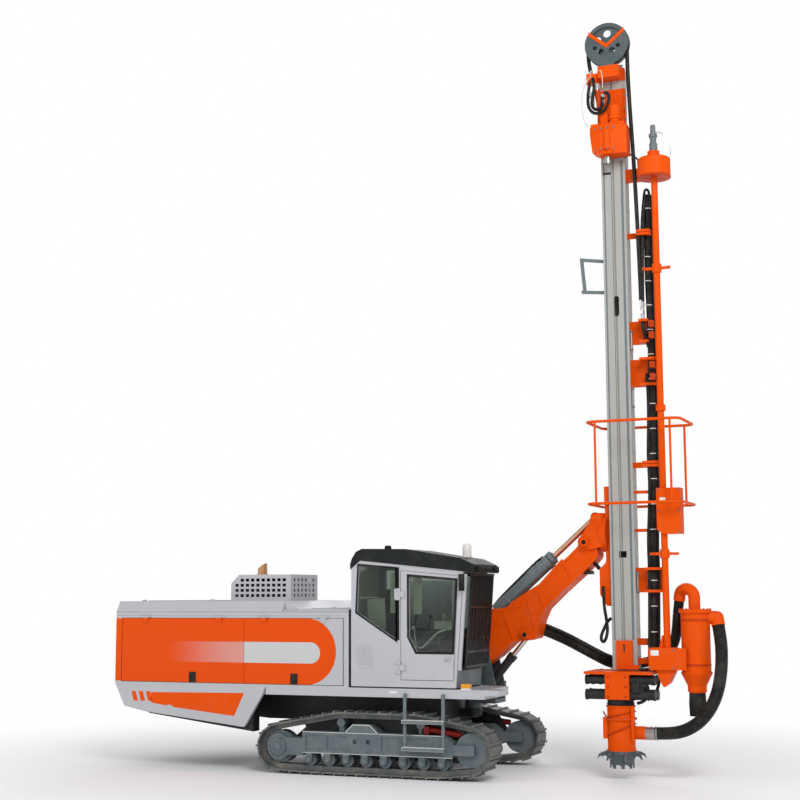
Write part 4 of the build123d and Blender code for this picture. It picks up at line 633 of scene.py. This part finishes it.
# Inside the cab
# A sprung driver's seat with armrests and levers, a bent handrail across the door, pale
# roller blinds and the drilling console, all bolted to the cab floor.
seat = [
    block((-0.02, 0.5), (-1.0, -0.52), (1.7, 1.8)),
    slab([(-0.14, 1.75), (0.02, 1.75), (-0.05, 2.36), (-0.18, 2.34)], "y", (-0.99, -0.53)),
    slab([(-0.2, 2.37), (-0.1, 2.38), (-0.13, 2.58), (-0.2, 2.56)], "y", (-0.88, -0.64)),
    block((-0.02, 0.34), (-1.06, -1.0), (1.98, 2.03)),
    block((-0.02, 0.34), (-0.52, -0.46), (1.98, 2.03)),
]
cushions = piece("seat_cushions", seat, trim, "chassis", 0.035)
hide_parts("cab_seat")
base = [block((0.02, 0.42), (-0.92, -0.6), (1.286, 1.7)),
        block((0.62, 0.92), (-1.0, -0.45), (1.286, 1.78)),
        slab([(0.62, 1.78), (0.92, 1.78), (0.92, 2.02), (0.8, 2.02)], "y", (-0.95, -0.5))]
piece("seat_base", base, trim, "chassis", 0.012)
cover = [slab([(-0.225, 2.02), (-0.19, 2.02), (-0.205, 2.44), (-0.235, 2.44)], "y",
              (-0.97, -0.55))]
piece("seat_cover", cover, pale_trim, "chassis", 0.01)
rail_y = -1.16
rail = [(0.36, 2.04), (0.366, 1.9), (0.376, 1.78), (0.474, 1.755), (0.6, 1.88), (0.74, 2.01),
        (0.898, 2.03)]
hose("handrail", [[(x, rail_y, z) for x, z in rail]], 0.016, 12, "door_cab", zinc)
feet = [bar((x, rail_y, z), (x, rail_y - 0.046, z), 0.02, 12) for x, z in (rail[0], rail[-1])]
piece("rail_feet", feet, zinc, "door_cab")
blinds = [block((-0.505, -0.495), (-1.1, -0.4), (2.46, 2.84)),
          block((0.0, 0.075), (-1.16, -1.152), (2.24, 2.8)),
          block((0.35, 0.47), (-1.16, -1.152), (2.23, 2.73)),
          slab([(-0.41, 2.06), (-0.13, 2.0), (-0.15, 2.45), (-0.42, 2.43)], "y", (-1.01, -1.0)),
          block((0.6, 0.86), (-1.02, -1.0), (2.02, 2.13))]
piece("blinds", blinds, pale_trim, "chassis")
screens = [block((0.66, 0.7), (-0.86, -0.6), (2.06, 2.24)),
           block((0.67, 0.7), (-0.76, -0.72), (2.0, 2.08))]
piece("console_screen", screens, pale_trim, "chassis", 0.004)
lever_ys = (-1.03, -0.49)
levers = [bar((0.3, y, 2.03), (0.34, y, 2.17), 0.01, 10) for y in lever_ys]
levers += [ball((0.342, y, 2.18), 0.024, 12) for y in lever_ys]
piece("hand_levers", levers, rubber, "chassis")
wiper = [bar((front_x(1.5) + 0.03, -0.75, 1.5), (front_x(2.25) + 0.03, -0.62, 2.25), 0.008, 8),
         bar((front_x(1.8) + 0.02, -0.7, 1.85), (front_x(2.6) + 0.02, -0.66, 2.6), 0.006, 8)]
piece("wiper", wiper, rubber, "chassis")


# Cab trim and platform
# A vent with slanted slats behind the door, a mirror on the front post, an edge band under
# the roof, painted shade in the gaps under and behind the cab, a reflector and the ladder's
# non-slip treads.
vent = [slab([(-0.501, 1.812), (-0.36, 1.832), (-0.197, 1.8), (-0.215, 1.6), (-0.235, 1.482),
              (-0.47, 1.482), (-0.485, 1.6)], "y", (cab_side - 0.0045, cab_side + 0.0005))]
slat_pitch = 0.042
slat_depth = (hinge_face, cab_side - 0.0035)
for number in range(7):
    z = 1.505 + slat_pitch * number
    vent.append(slab([(-0.46, z), (-0.355, z + 0.03), (-0.355, z + 0.044), (-0.46, z + 0.014)],
                     "y", slat_depth))
    vent.append(slab([(-0.345, z + 0.03), (-0.245, z), (-0.245, z + 0.014), (-0.345, z + 0.044)],
                     "y", slat_depth))
piece("cab_vent", vent, white_coat, "chassis", 0.002)
mirror = [block((1.085, 1.165), (-1.354, -1.33), (2.54, 2.77)),
          block((1.09, 1.16), (-1.3295, -1.3265), (2.55, 2.76)),
          bar((1.1, -1.245, 2.7), (1.125, -1.335, 2.7), 0.01, 10),
          bar((1.09, -1.245, 2.6), (1.125, -1.335, 2.6), 0.01, 10)]
piece("mirror", mirror, rubber, "chassis", 0.004)
# Dark rubber fills the gaps under the cab and between the cab and the engine house: painted shade.
gap_shade = [block((-0.552, 0.985), (-1.2475, -0.26), (1.2155, 1.2345)),
       block((-0.6, -0.5605), (-1.2465, 1.0), (1.2155, 2.29))]
piece("cab_gap_shade", gap_shade, rubber, "chassis")
band_depth = (cab_side - 0.003, cab_side + 0.001)
band = [slab([(-0.42, 2.972), (1.12, 2.807), (1.12, 2.79), (-0.41, 2.954)], "y", band_depth),
        slab([(-0.556, 2.86), (-0.42, 2.972), (-0.41, 2.954), (-0.543, 2.845)], "y", band_depth)]
piece("roof_band", band, white_coat, "chassis")
piece("reflector", [block((0.02, 0.13), (-1.253, -1.2495), (1.148, 1.178))], pale_lamp,
      "chassis", 0.002)
piece("marker_lens", [block((1.064, 1.199), (-1.243, -1.177), (1.232, 1.293))], amber,
      "chassis", 0.008)
lens = [lathe((0.977, -0.7, 3.034), (0.977, -0.7, 3.203),
              [(0, 0.062), (0.06, 0.0625), (0.8, 0.0625), (0.93, 0.05), (1, 0.03)])]
piece("beacon_lens", lens, pale_lamp, "chassis")
knob = [lathe((-0.23, -0.7, 3.134), (-0.23, -0.7, 3.195), [(0, 0.05), (0.65, 0.05), (1, 0.034)],
              20)]
piece("roof_knob", knob, rubber, "chassis")
work_lamps = [block((1.27, 1.32), (y - 0.07, y + 0.07), (2.8, 2.88)) for y in (-1.12, -0.38)]
piece("work_lamps", work_lamps, rubber, "chassis", 0.006)
treads = []
for z in (0.776, 0.414):
    treads.append(block((0.236, 0.844), (-1.3548, -1.262), (z + 0.0195, z + 0.0235)))
    for number in range(14):
        x = 0.262 + 0.0425 * number
        treads.append(block((x, x + 0.02), (-1.35, -1.27), (z + 0.0235, z + 0.0275)))
    treads.append(block((0.238, 0.842), (-1.3549, -1.349), (z - 0.022, z + 0.0235)))
piece("ladder_treads", treads, pale_lamp, "chassis")
pins = [bar((1.36, y, 1.214), (1.36, y, 1.29), 0.014, 10) for y in (-1.235, -0.235)]
piece("platform_pins", pins, steel_coat, "chassis")


# Tracks and side frames
# Bolted rollers and drive hubs in welded box frames. Pale strips run along the frames' edges,
# and each idler is tensioned from a red-painted cylinder.
track_middle = 1.05
track_face = 1.2
drive_hub = (-1.715, 0.368)
roller_count = 8
for row, side in (("right", -1), ("left", 1)):
    outer = side * track_face
    edge_depth = (outer - side * 0.002, outer + side * 0.0015)
    # Pale strips lie flat along the frame's edges.
    lines = [block((-1.335, end), edge_depth, (z - 0.007, z + 0.004))
             for z, end in ((0.588, 0.8), (0.302, 0.915))]
    lines.append(slab([(-0.69, 0.59), (-0.56, 0.708), (-0.3, 0.708), (-0.17, 0.59),
                       (-0.18, 0.58), (-0.305, 0.694), (-0.555, 0.694), (-0.68, 0.58)],
                      "y", edge_depth))
    piece(f"frame_edges_{row}", lines, zinc, "chassis")
    hub_face = outer + side * 0.022
    hub = bolts([(x, hub_face, z) for x, z in circle(drive_hub, 0.085, 12)], (0, side, 0),
                0.009, 0.012)
    hub.append(bar((drive_hub[0], hub_face - side * 0.004, drive_hub[1]),
                   (drive_hub[0], hub_face + side * 0.012, drive_hub[1]), 0.045, 24))
    hub += bolts([(x, outer, z) for x, z in circle(drive_hub, 0.155, 16)], (0, side, 0),
                 0.009, 0.01)
    piece(f"drive_bolts_{row}", hub, steel_coat, "chassis")
    roller_ends = sorted((outer - side * 0.06, outer + side * 0.012))
    bracket_face = outer + side * 0.006
    rollers = []
    for number in range(roller_count):
        x = -1.24 + number * 2.0 / (roller_count - 1)
        rollers.append(bar((x, roller_ends[0], 0.206), (x, roller_ends[1], 0.206), 0.032))
        rollers.append(block((x - 0.05, x + 0.05), (outer - side * 0.02, bracket_face),
                             (0.262, 0.296)))
        rollers += bolts([(x - 0.033, bracket_face, 0.279), (x + 0.033, bracket_face, 0.279)],
                         (0, side, 0), 0.008, 0.008)
    piece(f"roller_ends_{row}", rollers, steel_coat, "chassis")
    ram_y = side * track_middle
    piece(f"tension_ram_{row}", [bar((0.52, ram_y, 0.655), (1.0, ram_y, 0.6), 0.042),
                                 block((0.44, 0.54), (ram_y - 0.06, ram_y + 0.06), (0.588, 0.7))],
          red_coat, "chassis", 0.004)


# Boom and its cylinders
# A welded box boom with a raised doubling plate, pinned at the foot, elbow and head. Pins have
# keeper plates, and a pressure hose runs along the tilting cylinder, whose chromed rod carries
# a painted warm reflection in its colour.
head_pin = (2.49, 3.215)
ram_pin = (1.6, 1.925)
keepers = []
pin_places = []
for (x, z), size in ((head_pin, 0.05), (ram_pin, 0.042)):
    keepers.append(bar((x, -0.062, z), (x, -0.035, z), size + 0.018, 28))
    keepers.append(bar((x, -0.072, z), (x, -0.06, z), size, 28))
    keepers.append(block((x - 0.075, x + 0.075), (-0.066, -0.05), (z + 0.035, z + 0.065)))
    pin_places += [(x - 0.055, -0.066, z + 0.05), (x + 0.055, -0.066, z + 0.05)]
keepers += bolts(pin_places, (0, -1, 0), 0.009, 0.009)
piece("boom_pins", keepers, orange_coat, "arm", 0.003)
piece("pin_ends", [bar((x, -0.078, z), (x, -0.07, z), 0.032, 20) for x, z in (head_pin, ram_pin)],
      rubber, "arm")
piece("boom_plate", [slab([(1.16, 2.02), (1.47, 2.32), (1.86, 2.56), (2.2, 2.93), (2.14, 2.99),
                           (1.8, 2.64), (1.4, 2.4), (1.1, 2.1)], "y", (0.026, 0.036))],
      orange_coat, "arm", 0.003)
barrel_foot = Vector((1.02, 0.2, 2.16))
along = (Vector((2.0, 0.2, 3.06)) - barrel_foot).normalized()
over = Vector((-along.z, 0, along.x))
collar = barrel_foot + along * 1.23
collars = [bar(collar, collar + along * 0.055, 0.102, 32),
           bar(collar + along * 0.055, collar + along * 0.075, 0.062, 28)]
for share in (0.34, 0.98):
    middle = barrel_foot + along * share
    collars.append(lathe(middle, middle + along * 0.05,
                         [(0, 0.098), (0.1, 0.102), (0.9, 0.102), (1, 0.098)], 32))
piece("tilt_collar", collars, steel_coat, "tilt_barrel", 0.003)
oil_line = [barrel_foot + along * share + over * rise for share, rise in (
    (0.12, 0.1), (0.25, 0.118), (0.6, 0.12), (0.95, 0.12), (1.1, 0.116), (1.17, 0.1))]
hose("tilt_oil_hose", [oil_line], 0.017, 10, "tilt_barrel")


# Boom hoses
# Rubber hoses with steel ends hang under the boom's head from a bracket, feed the cradle and
# leave one spare loop.
bracket = [slab([(2.16, 2.77), (2.54, 2.77), (2.54, 2.82), (2.16, 2.8)], "y", (0.1, 0.28)),
           block((2.36, 2.4), (0.12, 0.16), (2.8, 2.96)),
           block((2.3, 2.46), (0.1, 0.28), (2.82, 2.85))]
piece("hose_bracket", bracket, black_coat, "arm", 0.003)
for number, y in enumerate((0.13, 0.19, 0.25)):
    low = [(1.22, y, 2.02), (1.5, y, 2.2), (1.86, y, 2.44), (2.15, y, 2.72), (2.3, y, 2.88),
           (2.42, y, 2.98), (2.5, y, 2.98)]
    hose(f"boom_hose_{number}", [low], 0.017, 10, "arm")
    link = [(2.5, y, 2.98), (2.56, y, 2.96), (2.6, y - 0.02, 2.9), (2.66, y - 0.04, 2.84)]
    crossing = hose(f"head_hose_{number}", [link], 0.017, 10)
    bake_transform(crossing)
drop = [(2.735, 0.02, 2.6), (2.742, 0.01, 2.45), (2.748, 0.01, 2.3), (2.775, 0.01, 2.14),
        (2.79, 0.01, 1.99), (2.76, 0.01, 1.86), (2.71, 0.01, 1.82), (2.685, 0.01, 1.9),
        (2.74, 0.01, 2.02), (2.79, 0.015, 2.12), (2.84, 0.03, 2.16)]
spare = hose("spare_loop", [drop], 0.022, 10)
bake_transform(spare)


# Dust suction hose
# A wire-wound rubber hose of about 140 mm. It leads the dust air from the feed's foot past the
# boom to the collector, in one length for each joint of the machine.
winding = (0.02, 0.0035)
suction_radius = 0.072
suction_route = [(3.78, 0.103, 2.4), (3.75, 0.126, 2.22), (3.722, 0.18, 2.02),
                 (3.676, 0.245, 1.84), (3.575, 0.312, 1.7), (3.43, 0.375, 1.605),
                 (3.25, 0.43, 1.545), (3.05, 0.465, 1.51), (2.85, 0.48, 1.49)]
foot_run = hose("suction_foot_hose", [suction_route], suction_radius, 20, "mast", fineness=12,
                ribs=winding)
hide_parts("suction_hose")
runs = (
    # name, bodies, route
    ("feed", ("mast", "cradle"),
     [(2.85, 0.48, 1.49), (2.77, 0.475, 1.505), (2.69, 0.47, 1.525), (2.62, 0.465, 1.555)]),
    ("lean", ("cradle", "holder"),
     [(2.62, 0.465, 1.555), (2.58, 0.46, 1.573), (2.53, 0.46, 1.6), (2.47, 0.455, 1.63)]),
    ("head", ("holder", "arm"),
     [(2.47, 0.455, 1.63), (2.25, 0.45, 1.745), (2.02, 0.445, 1.86), (1.78, 0.44, 1.955)]),
    ("foot", ("arm", "swing"),
     [(1.78, 0.44, 1.955), (1.6, 0.44, 2.005), (1.42, 0.45, 1.99), (1.24, 0.47, 1.94)]),
    ("deck", ("swing", "chassis"),
     [(1.24, 0.47, 1.94), (1.02, 0.5, 1.88), (0.78, 0.56, 1.86), (0.5, 0.66, 1.88),
      (0.28, 0.74, 1.9)]),
)
for name, bodies, route in runs:
    run = hose(f"suction_{name}_hose", [route], suction_radius, 20, fineness=10, ribs=winding)
    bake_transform(run)
hood_route = [(3.432, -0.15, 0.622), (3.66, -0.15, 0.622), (3.88, -0.205, 0.672),
              (4.08, -0.265, 0.79), (4.235, -0.29, 0.965), (4.335, -0.275, 1.185),
              (4.38, -0.23, 1.43), (4.388, -0.17, 1.67), (4.37, -0.11, 1.88),
              (4.336, -0.066, 2.06)]
hood_run = hose("hood_air_hose", [hood_route], 0.087, 22, "mast", fineness=12,
                ribs=(0.03, 0.0035))
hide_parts("hood_hose")
cuffs = [bar((start, -0.15, 0.622), (end, -0.15, 0.622), radius, 28) for start, end, radius in (
    (3.33, 3.46, 0.0905), (3.47, 3.492, 0.0925), (3.4, 3.418, 0.0925))]
piece("hood_cuffs", cuffs, bare_steel, "mast", 0.002)


# Feed hoses
# Rubber pressure hoses in a woven sleeve, held by orange clamps in front of the feed beam.
# One of them climbs to the hose wheel, passes over it and comes down to the rotary head.
sleeve = [(3.5, 0.07, 8.16), (3.5, 0.07, 7.9), (3.478, 0.08, 7.5), (3.472, 0.07, 7.0),
          (3.486, 0.062, 6.5), (3.49, 0.062, 6.0), (3.486, 0.066, 5.6), (3.5, 0.07, 5.2),
          (3.492, 0.062, 4.8), (3.474, 0.06, 4.4), (3.488, 0.07, 4.0), (3.47, 0.062, 3.6),
          (3.442, 0.07, 3.2), (3.452, 0.062, 2.8), (3.44, 0.07, 2.4), (3.43, 0.07, 2.0),
          (3.42, 0.06, 1.64)]
sleeve_line = spline_points(sleeve, 8)
left_line = [(3.47, 0.05, 8.16), (3.44, 0.03, 7.9), (3.42, 0.02, 7.5), (3.408, 0.012, 7.1),
             (3.4, 0.01, 6.6)]
left_foot = [(3.4, 0.01, 6.35), (3.405, 0.015, 6.2), (3.43, 0.03, 6.1), (3.47, 0.05, 5.95)]
top_bend = [(3.46, 0.05, 8.1), (3.455, 0.05, 8.2), (3.49, 0.055, 8.25), (3.53, 0.07, 8.21),
            (3.535, 0.08, 8.05)]
lines = [tube(sleeve_line, 0.044, 18, (0.012, 0.0012)),
         tube([p + Vector((0.055, 0.035, 0)) for p in sleeve_line], 0.024, 12),
         tube([p + Vector((-0.055, -0.005, 0)) for p in sleeve_line if p.z < 5.6], 0.03, 12),
         tube(spline_points(left_line), 0.03, 14), tube(spline_points(left_foot), 0.03, 14),
         tube(spline_points(top_bend), 0.018, 10)]
bundle = piece("sleeved_hoses", lines, hose_black, "mast")
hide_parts("mast_hose_bundle")
ties = []
tie_pitch = 0.352
for number in range(18):
    z = 7.95 - number * tie_pitch
    near_point = min(sleeve_line, key=lambda p: abs(p.z - z))
    ties.append(bar((near_point.x, near_point.y, z), (near_point.x, near_point.y, z + 0.012),
                    0.0475, 18))
piece("hose_ties", ties, pale_lamp, "mast")
fittings = [bar((3.4, 0.01, 6.35), (3.4, 0.01, 6.6), 0.026),
            bar((3.4, 0.01, 6.42), (3.4, 0.01, 6.47), 0.036, 6),
            bar((3.4, 0.01, 6.53), (3.4, 0.01, 6.58), 0.036, 6),
            bar((3.384, 0, 6.52), (3.384, 0, 6.62), 0.03, 6)]
fittings += [bar((3.2, 0.13, z), (3.2, 0.13, z + 0.3), 0.018, 12) for z in (5.92, 5.1, 2.5)]
fittings += [bar((3.2, 0.13, z), (3.2, 0.13, z + 0.04), 0.03, 6)
             for z in (5.92, 6.18, 5.1, 5.36, 2.5, 2.76)]
piece("hose_fittings", fittings, zinc, "mast", 0.001)
wheel_x, wheel_y, wheel_z = 3.02, -0.13, 10.408
turn_radius = 0.287
arc = [(wheel_x + turn_radius * math.cos(math.pi * i / 24), wheel_y,
        wheel_z + turn_radius * math.sin(math.pi * i / 24)) for i in range(25)]
piece("wheel_hose", [tube(arc, 0.029, 14)], hose_black, "sled")
rise = [(3.384, 0.0, 6.62), (3.38, 0.0, 6.95), (3.37, -0.005, 7.4), (3.36, -0.015, 7.9),
        (3.352, -0.05, 8.4), (3.342, -0.09, 8.9), (3.325, -0.12, 9.4), (3.31, -0.13, 9.9),
        (3.307, -0.13, 10.2), (3.307, -0.13, 10.408)]
climb = hose("rising_hose", [rise], 0.029, 14, fineness=12)
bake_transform(climb)
fall = [(2.733, -0.13, 10.408), (2.733, -0.13, 10.28), (2.74, -0.13, 10.15), (2.765, -0.13, 10.02)]
down = hose("falling_hose", [fall], 0.029, 14, fineness=12)
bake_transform(down)


# Rotary head fittings
# Motor and swivel on the sliding head: pressure hoses in a U under a curved steel pipe,
# with plated unions, thin cables and bolted flanges.
plumbing = [bar((2.765, -0.13, 9.94), (2.765, -0.13, 10.03), 0.034, 6),
            bar((2.765, -0.13, 9.99), (2.765, -0.13, 10.045), 0.028, 14)]
for x, z, length in ((2.8, 9.5, 0.14), (2.95, 9.5, 0.15), (2.87, 9.72, 0.1), (2.78, 9.62, 0.08)):
    for low, high, radius, sides in ((0, length, 0.024, 14), (0.02, 0.055, 0.032, 6),
                                     (length - 0.03, length, 0.032, 6)):
        plumbing.append(bar((x, -0.19, z + low), (x, -0.19, z + high), radius, sides))
piece("head_unions", plumbing, zinc, "head", 0.001)
loops = [
    [(2.765, -0.13, 9.95), (2.74, -0.16, 9.8), (2.725, -0.19, 9.62), (2.74, -0.21, 9.46),
     (2.83, -0.22, 9.36), (2.95, -0.22, 9.38), (3.03, -0.21, 9.48), (3.05, -0.19, 9.62),
     (2.99, -0.17, 9.7), (2.95, -0.15, 9.66)],
    [(2.8, -0.17, 9.92), (2.84, -0.2, 9.8), (2.8, -0.21, 9.62), (2.79, -0.22, 9.48),
     (2.86, -0.23, 9.41), (2.93, -0.22, 9.44), (2.95, -0.2, 9.54), (2.95, -0.19, 9.62)],
]
hose("head_hoses", loops, 0.023, 12, "head")
swivel = [(2.79, -0.13, 9.93), (2.82, -0.16, 9.84), (2.87, -0.18, 9.72), (2.89, -0.18, 9.58),
          (2.88, -0.17, 9.42)]
# The curved pipe takes the darker orange: painted shade.
hose("head_pipe", [swivel], 0.034, 16, "head", shaded_orange)
thin = [[(2.76, -0.17, 9.95), (2.66, -0.2, 9.8), (2.64, -0.22, 9.6), (2.66, -0.25, 9.36),
         (2.7, -0.27, 9.2), (2.77, -0.27, 9.15)],
        [(2.86, -0.17, 9.98), (2.9, -0.19, 10.06), (2.96, -0.2, 9.94), (2.95, -0.2, 9.75)]]
hose("head_cables", thin, 0.006, 8, "head", pale_trim)
head_bolts = [(x, -0.0695, z) for x in (2.96, 3.25) for z in (9.28, 9.46, 9.64)]
head_bolts += [(x, -0.332, z) for x in (2.86, 2.95, 3.04, 3.13) for z in (8.79, 9.1)]
piece("head_bolts", bolts(head_bolts, (0, -1, 0), 0.011, 0.012), steel_coat, "head")
stay = [(3.16, 0.06, 8.72), (3.25, 0.05, 8.8), (3.34, 0.04, 8.74), (3.44, 0.02, 8.62),
        (3.47, 0.0, 8.54)]
hose("mast_cable", [stay], 0.013, 8, "mast")


# Rod changer and feed beam fittings
# A steel rod end with its thread stands on the rod cup, tied by a thin steel rope. The beam has
# a thin black band across its face, side bolts, and small blank plates on the boxes at its foot.
changer_x, changer_y = 3.65, -0.13
rod_end = [lathe((changer_x, changer_y, 8.72), (changer_x, changer_y, 9.115),
                 [(0, 0.058), (0.3, 0.058), (0.34, 0.046), (0.52, 0.046), (0.55, 0.06),
                  (0.66, 0.06), (0.7, 0.04), (0.97, 0.036), (1, 0.032)])]
piece("rod_end", rod_end, steel_coat, "changer", 0.002)
rope = [(3.66, -0.19, 8.97), (3.74, -0.2, 9.0), (3.84, -0.19, 8.92), (3.91, -0.17, 8.76),
        (3.885, -0.15, 8.6)]
hose("rod_rope", [rope], 0.007, 8, "changer", zinc)
# The cup's ring takes the darker orange: painted shade.
piece("cup_ring", [lathe((changer_x, changer_y, 8.335), (changer_x, changer_y, 8.36),
                         [(0, 0.233), (0.2, 0.2365), (0.8, 0.2365), (1, 0.233)], 48)],
      shaded_orange, "changer")
strips = [block(x, (0.02575, 0.0262), (1.86, 8.7))
          for x in ((2.872, 2.894), (3.128, 3.162), (2.985, 2.997))]
piece("rail_strips", strips, steel_coat, "mast")
# A thin black band across the beam's face, on its left half.
piece("black_band", [block((2.868, 2.985), (0.0235, 0.027), (8.515, 8.545))], rubber, "mast")
side_bolts = [(3.17, y, 2.0 + 0.5 * n) for n in range(16) for y in (0.24, 0.32)]
piece("beam_bolts", bolts(side_bolts, (1, 0, 0), 0.01, 0.008), zinc, "mast")
low_box_face, high_box_face = -0.2995, -0.2295
plates = [block((3.455, 3.565), (low_box_face - 0.003, low_box_face + 0.001), (1.665, 1.735)),
          block((3.62, 3.7), (high_box_face - 0.003, high_box_face + 0.001), (3.74, 3.8))]
piece("blank_plates", plates, pale_lamp, "mast")
box_bolts = [(x, low_box_face, z) for x in (3.45, 3.765) for z in (1.5, 1.74)]
box_bolts += [(x, high_box_face, z) for x in (3.6, 3.88) for z in (3.33, 3.62, 3.905)]
piece("box_bolts", bolts(box_bolts, (0, -1, 0), 0.01, 0.009), steel_coat, "mast")


# Drilling foot
# A rubber collar seals the hood under the rod clamp, whose two cylinders are bolted through an
# orange housing. The hood is split and strapped, and the dust separator has flanges and bands.
drill_x, drill_y = 2.99, -0.15
separator_x, separator_y = 4.025, -0.06
piece("hood_seal", [lathe((drill_x, drill_y, 0.975), (drill_x, drill_y, 1.068),
                          [(0, 0.19), (0.15, 0.182), (0.4, 0.19), (0.6, 0.178), (0.85, 0.185),
                           (1, 0.175)], 40)], rubber, "mast")


def hoop(z, radius, tilt, span):
    """A round strap about the hood, tilted sideways, over a span of angles."""
    route = []
    for i in range(25):
        angle = math.radians(span[0] + (span[1] - span[0]) * i / 24)
        route.append((drill_x + radius * math.cos(angle), drill_y + radius * math.sin(angle),
                      z + tilt * math.cos(angle)))
    return tube(route, 0.01, 10)


straps = [hoop(0.655, 0.197, 0.085, (150, 395)), hoop(0.865, 0.196, 0.04, (160, 380)),
          bar((2.8, -0.16, 0.8), (2.745, -0.17, 0.9), 0.011, 8),
          bar((2.8, -0.16, 0.62), (2.755, -0.17, 0.575), 0.011, 8)]
# The hood straps take the darker orange: painted shade.
piece("hood_straps", straps, shaded_orange, "mast")
hood_bolts = [(x, y, 0.813) for x, y in circle((drill_x, drill_y), 0.205, 12)]
piece("ring_bolts", bolts(hood_bolts, (0, 0, 1), 0.009, 0.009), steel_coat, "mast")
piece("jaw_bands", [bar((x, drill_y, z), (x + 0.022, drill_y, z), 0.074, 24)
                    for z in (1.33, 1.13) for x in (2.6, 2.7, 3.3, 3.42)],
      black_coat, "mast", 0.002)
table_bolts = [(x, y, 1.4405) for x in (2.6, 2.75, 3.3, 3.42) for y in (-0.3, 0.34)]
piece("table_bolts", bolts(table_bolts, (0, 0, 1), 0.012, 0.012), steel_coat, "mast")
housing_bolts = [(x, -0.3555, z) for x in (2.87, 3.11) for z in (1.11, 1.24, 1.37)]
# The housing's bolts take the darker orange: painted shade of its faces.
piece("housing_bolts", bolts(housing_bolts, (0, -1, 0), 0.012, 0.011), shaded_orange, "mast")
bands = [lathe((separator_x, separator_y, z), (separator_x, separator_y, z + 0.035),
               [(0, 0.1955), (0.15, 0.1985), (0.85, 0.1985), (1, 0.1955)], 48)
         for z in (1.52, 2.12)]
flange_bolts = [(x, y, 2.2855) for x, y in circle((separator_x, separator_y), 0.207, 16)]
bands += bolts(flange_bolts, (0, 0, 1), 0.009, 0.009)
# The separator's bands and flange bolts take the darker orange: painted shade.
piece("separator_bands", bands, shaded_orange, "mast")
low_hoses = [
    [(3.42, 0.06, 1.66), (3.41, 0.05, 1.55), (3.38, 0.02, 1.47), (3.3, 0.0, 1.46),
     (3.22, -0.02, 1.455)],
    [(3.2, -0.1, 1.4), (3.24, -0.26, 1.35), (3.34, -0.29, 1.22), (3.3, -0.28, 1.09),
     (3.2, -0.24, 1.08)],
    [(3.18, -0.06, 1.39), (3.3, -0.25, 1.37), (3.42, -0.28, 1.24), (3.38, -0.27, 1.05),
     (3.24, -0.22, 1.02)],
    [(3.46, 0.08, 1.62), (3.5, 0.02, 1.4), (3.5, -0.08, 1.22), (3.44, -0.14, 1.12),
     (3.36, -0.15, 1.06)],
]
hose("jaw_hoses", low_hoses, 0.022, 12, "mast")


# Cab guard and hose extras
# The guard's lower tiers of welded bars stand in front of the windscreen on a bolted frame.
# Smaller pressure hoses are strapped along the top of the suction hose.
guard_stand = 0.082
guard_depth = (guard_stand, guard_stand + 0.022)
guard_run = 0.9
guard_bars = []
for count, z, first_y in ((19, (1.5, 1.89), -1.186), (15, (1.9, 2.32), -1.18)):
    for number in range(count):
        y = first_y + number * guard_run / (count - 1)
        guard_bars.append(leaning(z, guard_depth, (y, y + 0.016)))
for z in (1.5, 1.7):
    x = front_x(z) + guard_stand
    guard_bars.append(slab([(x - 0.002, z), (x + 0.028, z), (x + 0.031, z + 0.035),
                            (x + 0.001, z + 0.035)], "y", (-1.19, -0.262)))
foot_x = front_x(1.52)
for y in (-1.15, -0.34):
    guard_bars.append(block((foot_x + 0.001, foot_x + guard_stand + 0.01), (y, y + 0.04),
                            (1.5, 1.54)))
piece("guard_tiers", guard_bars, black_coat, "chassis")
piece("front_post", [leaning((1.47, 2.77), (0.006, 0.05), (-1.248, -1.205))], white_coat,
      "chassis", 0.004)
panel_foot, panel_top = front_x(1.235), front_x(1.47)
front_panel = [slab([(panel_foot + 0.003, 1.24), (panel_top + 0.003, 1.47),
                     (panel_top + 0.006, 1.47), (panel_foot + 0.006, 1.24)], "y", (-1.24, -0.26))]
piece("front_panel", front_panel, steel_coat, "chassis")
for name, bodies, route in runs:
    small = [[Vector(p) + Vector(shift) for p in route]
             for shift in ((0.0, -0.045, 0.088), (0.0, 0.03, 0.092))]
    strapped = hose(f"pressure_{name}_hoses", small, 0.018, 10, fineness=10)
    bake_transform(strapped)
valve = [block((3.17, 3.34), (-0.31, -0.2), (1.1, 1.36)),
         block((3.2, 3.3), (-0.345, -0.31), (1.16, 1.3))]
valve += [bar((3.34, -0.25, z), (3.4, -0.25, z), 0.026, 12) for z in (1.15, 1.23, 1.31)]
piece("jaw_valve", valve, black_coat, "mast", 0.006)
clamp_blocks = []
for z in (6.04, 6.2, 5.45, 5.62):
    clamp_blocks.append(block((3.52, 3.585), (-0.18, -0.09), (z, z + 0.09)))
    clamp_blocks += bolts([(3.54, -0.18, z + 0.045), (3.57, -0.18, z + 0.045)], (0, -1, 0),
                          0.009, 0.01)
# The clamp blocks take the darker orange: painted shade.
piece("clamp_blocks", clamp_blocks, shaded_orange, "mast", 0.004)


# Lower chassis
# The welded steel chassis carries a white deck. Below the deck it is painted dark, between
# the side frames that are bolted to it.
deck_underside = 1.1
chassis_mesh = nodes["main_frame"].data
chassis_mesh.materials.append(black_coat)
for polygon in chassis_mesh.polygons:
    if polygon.center.z < deck_underside:
        polygon.material_index = 1
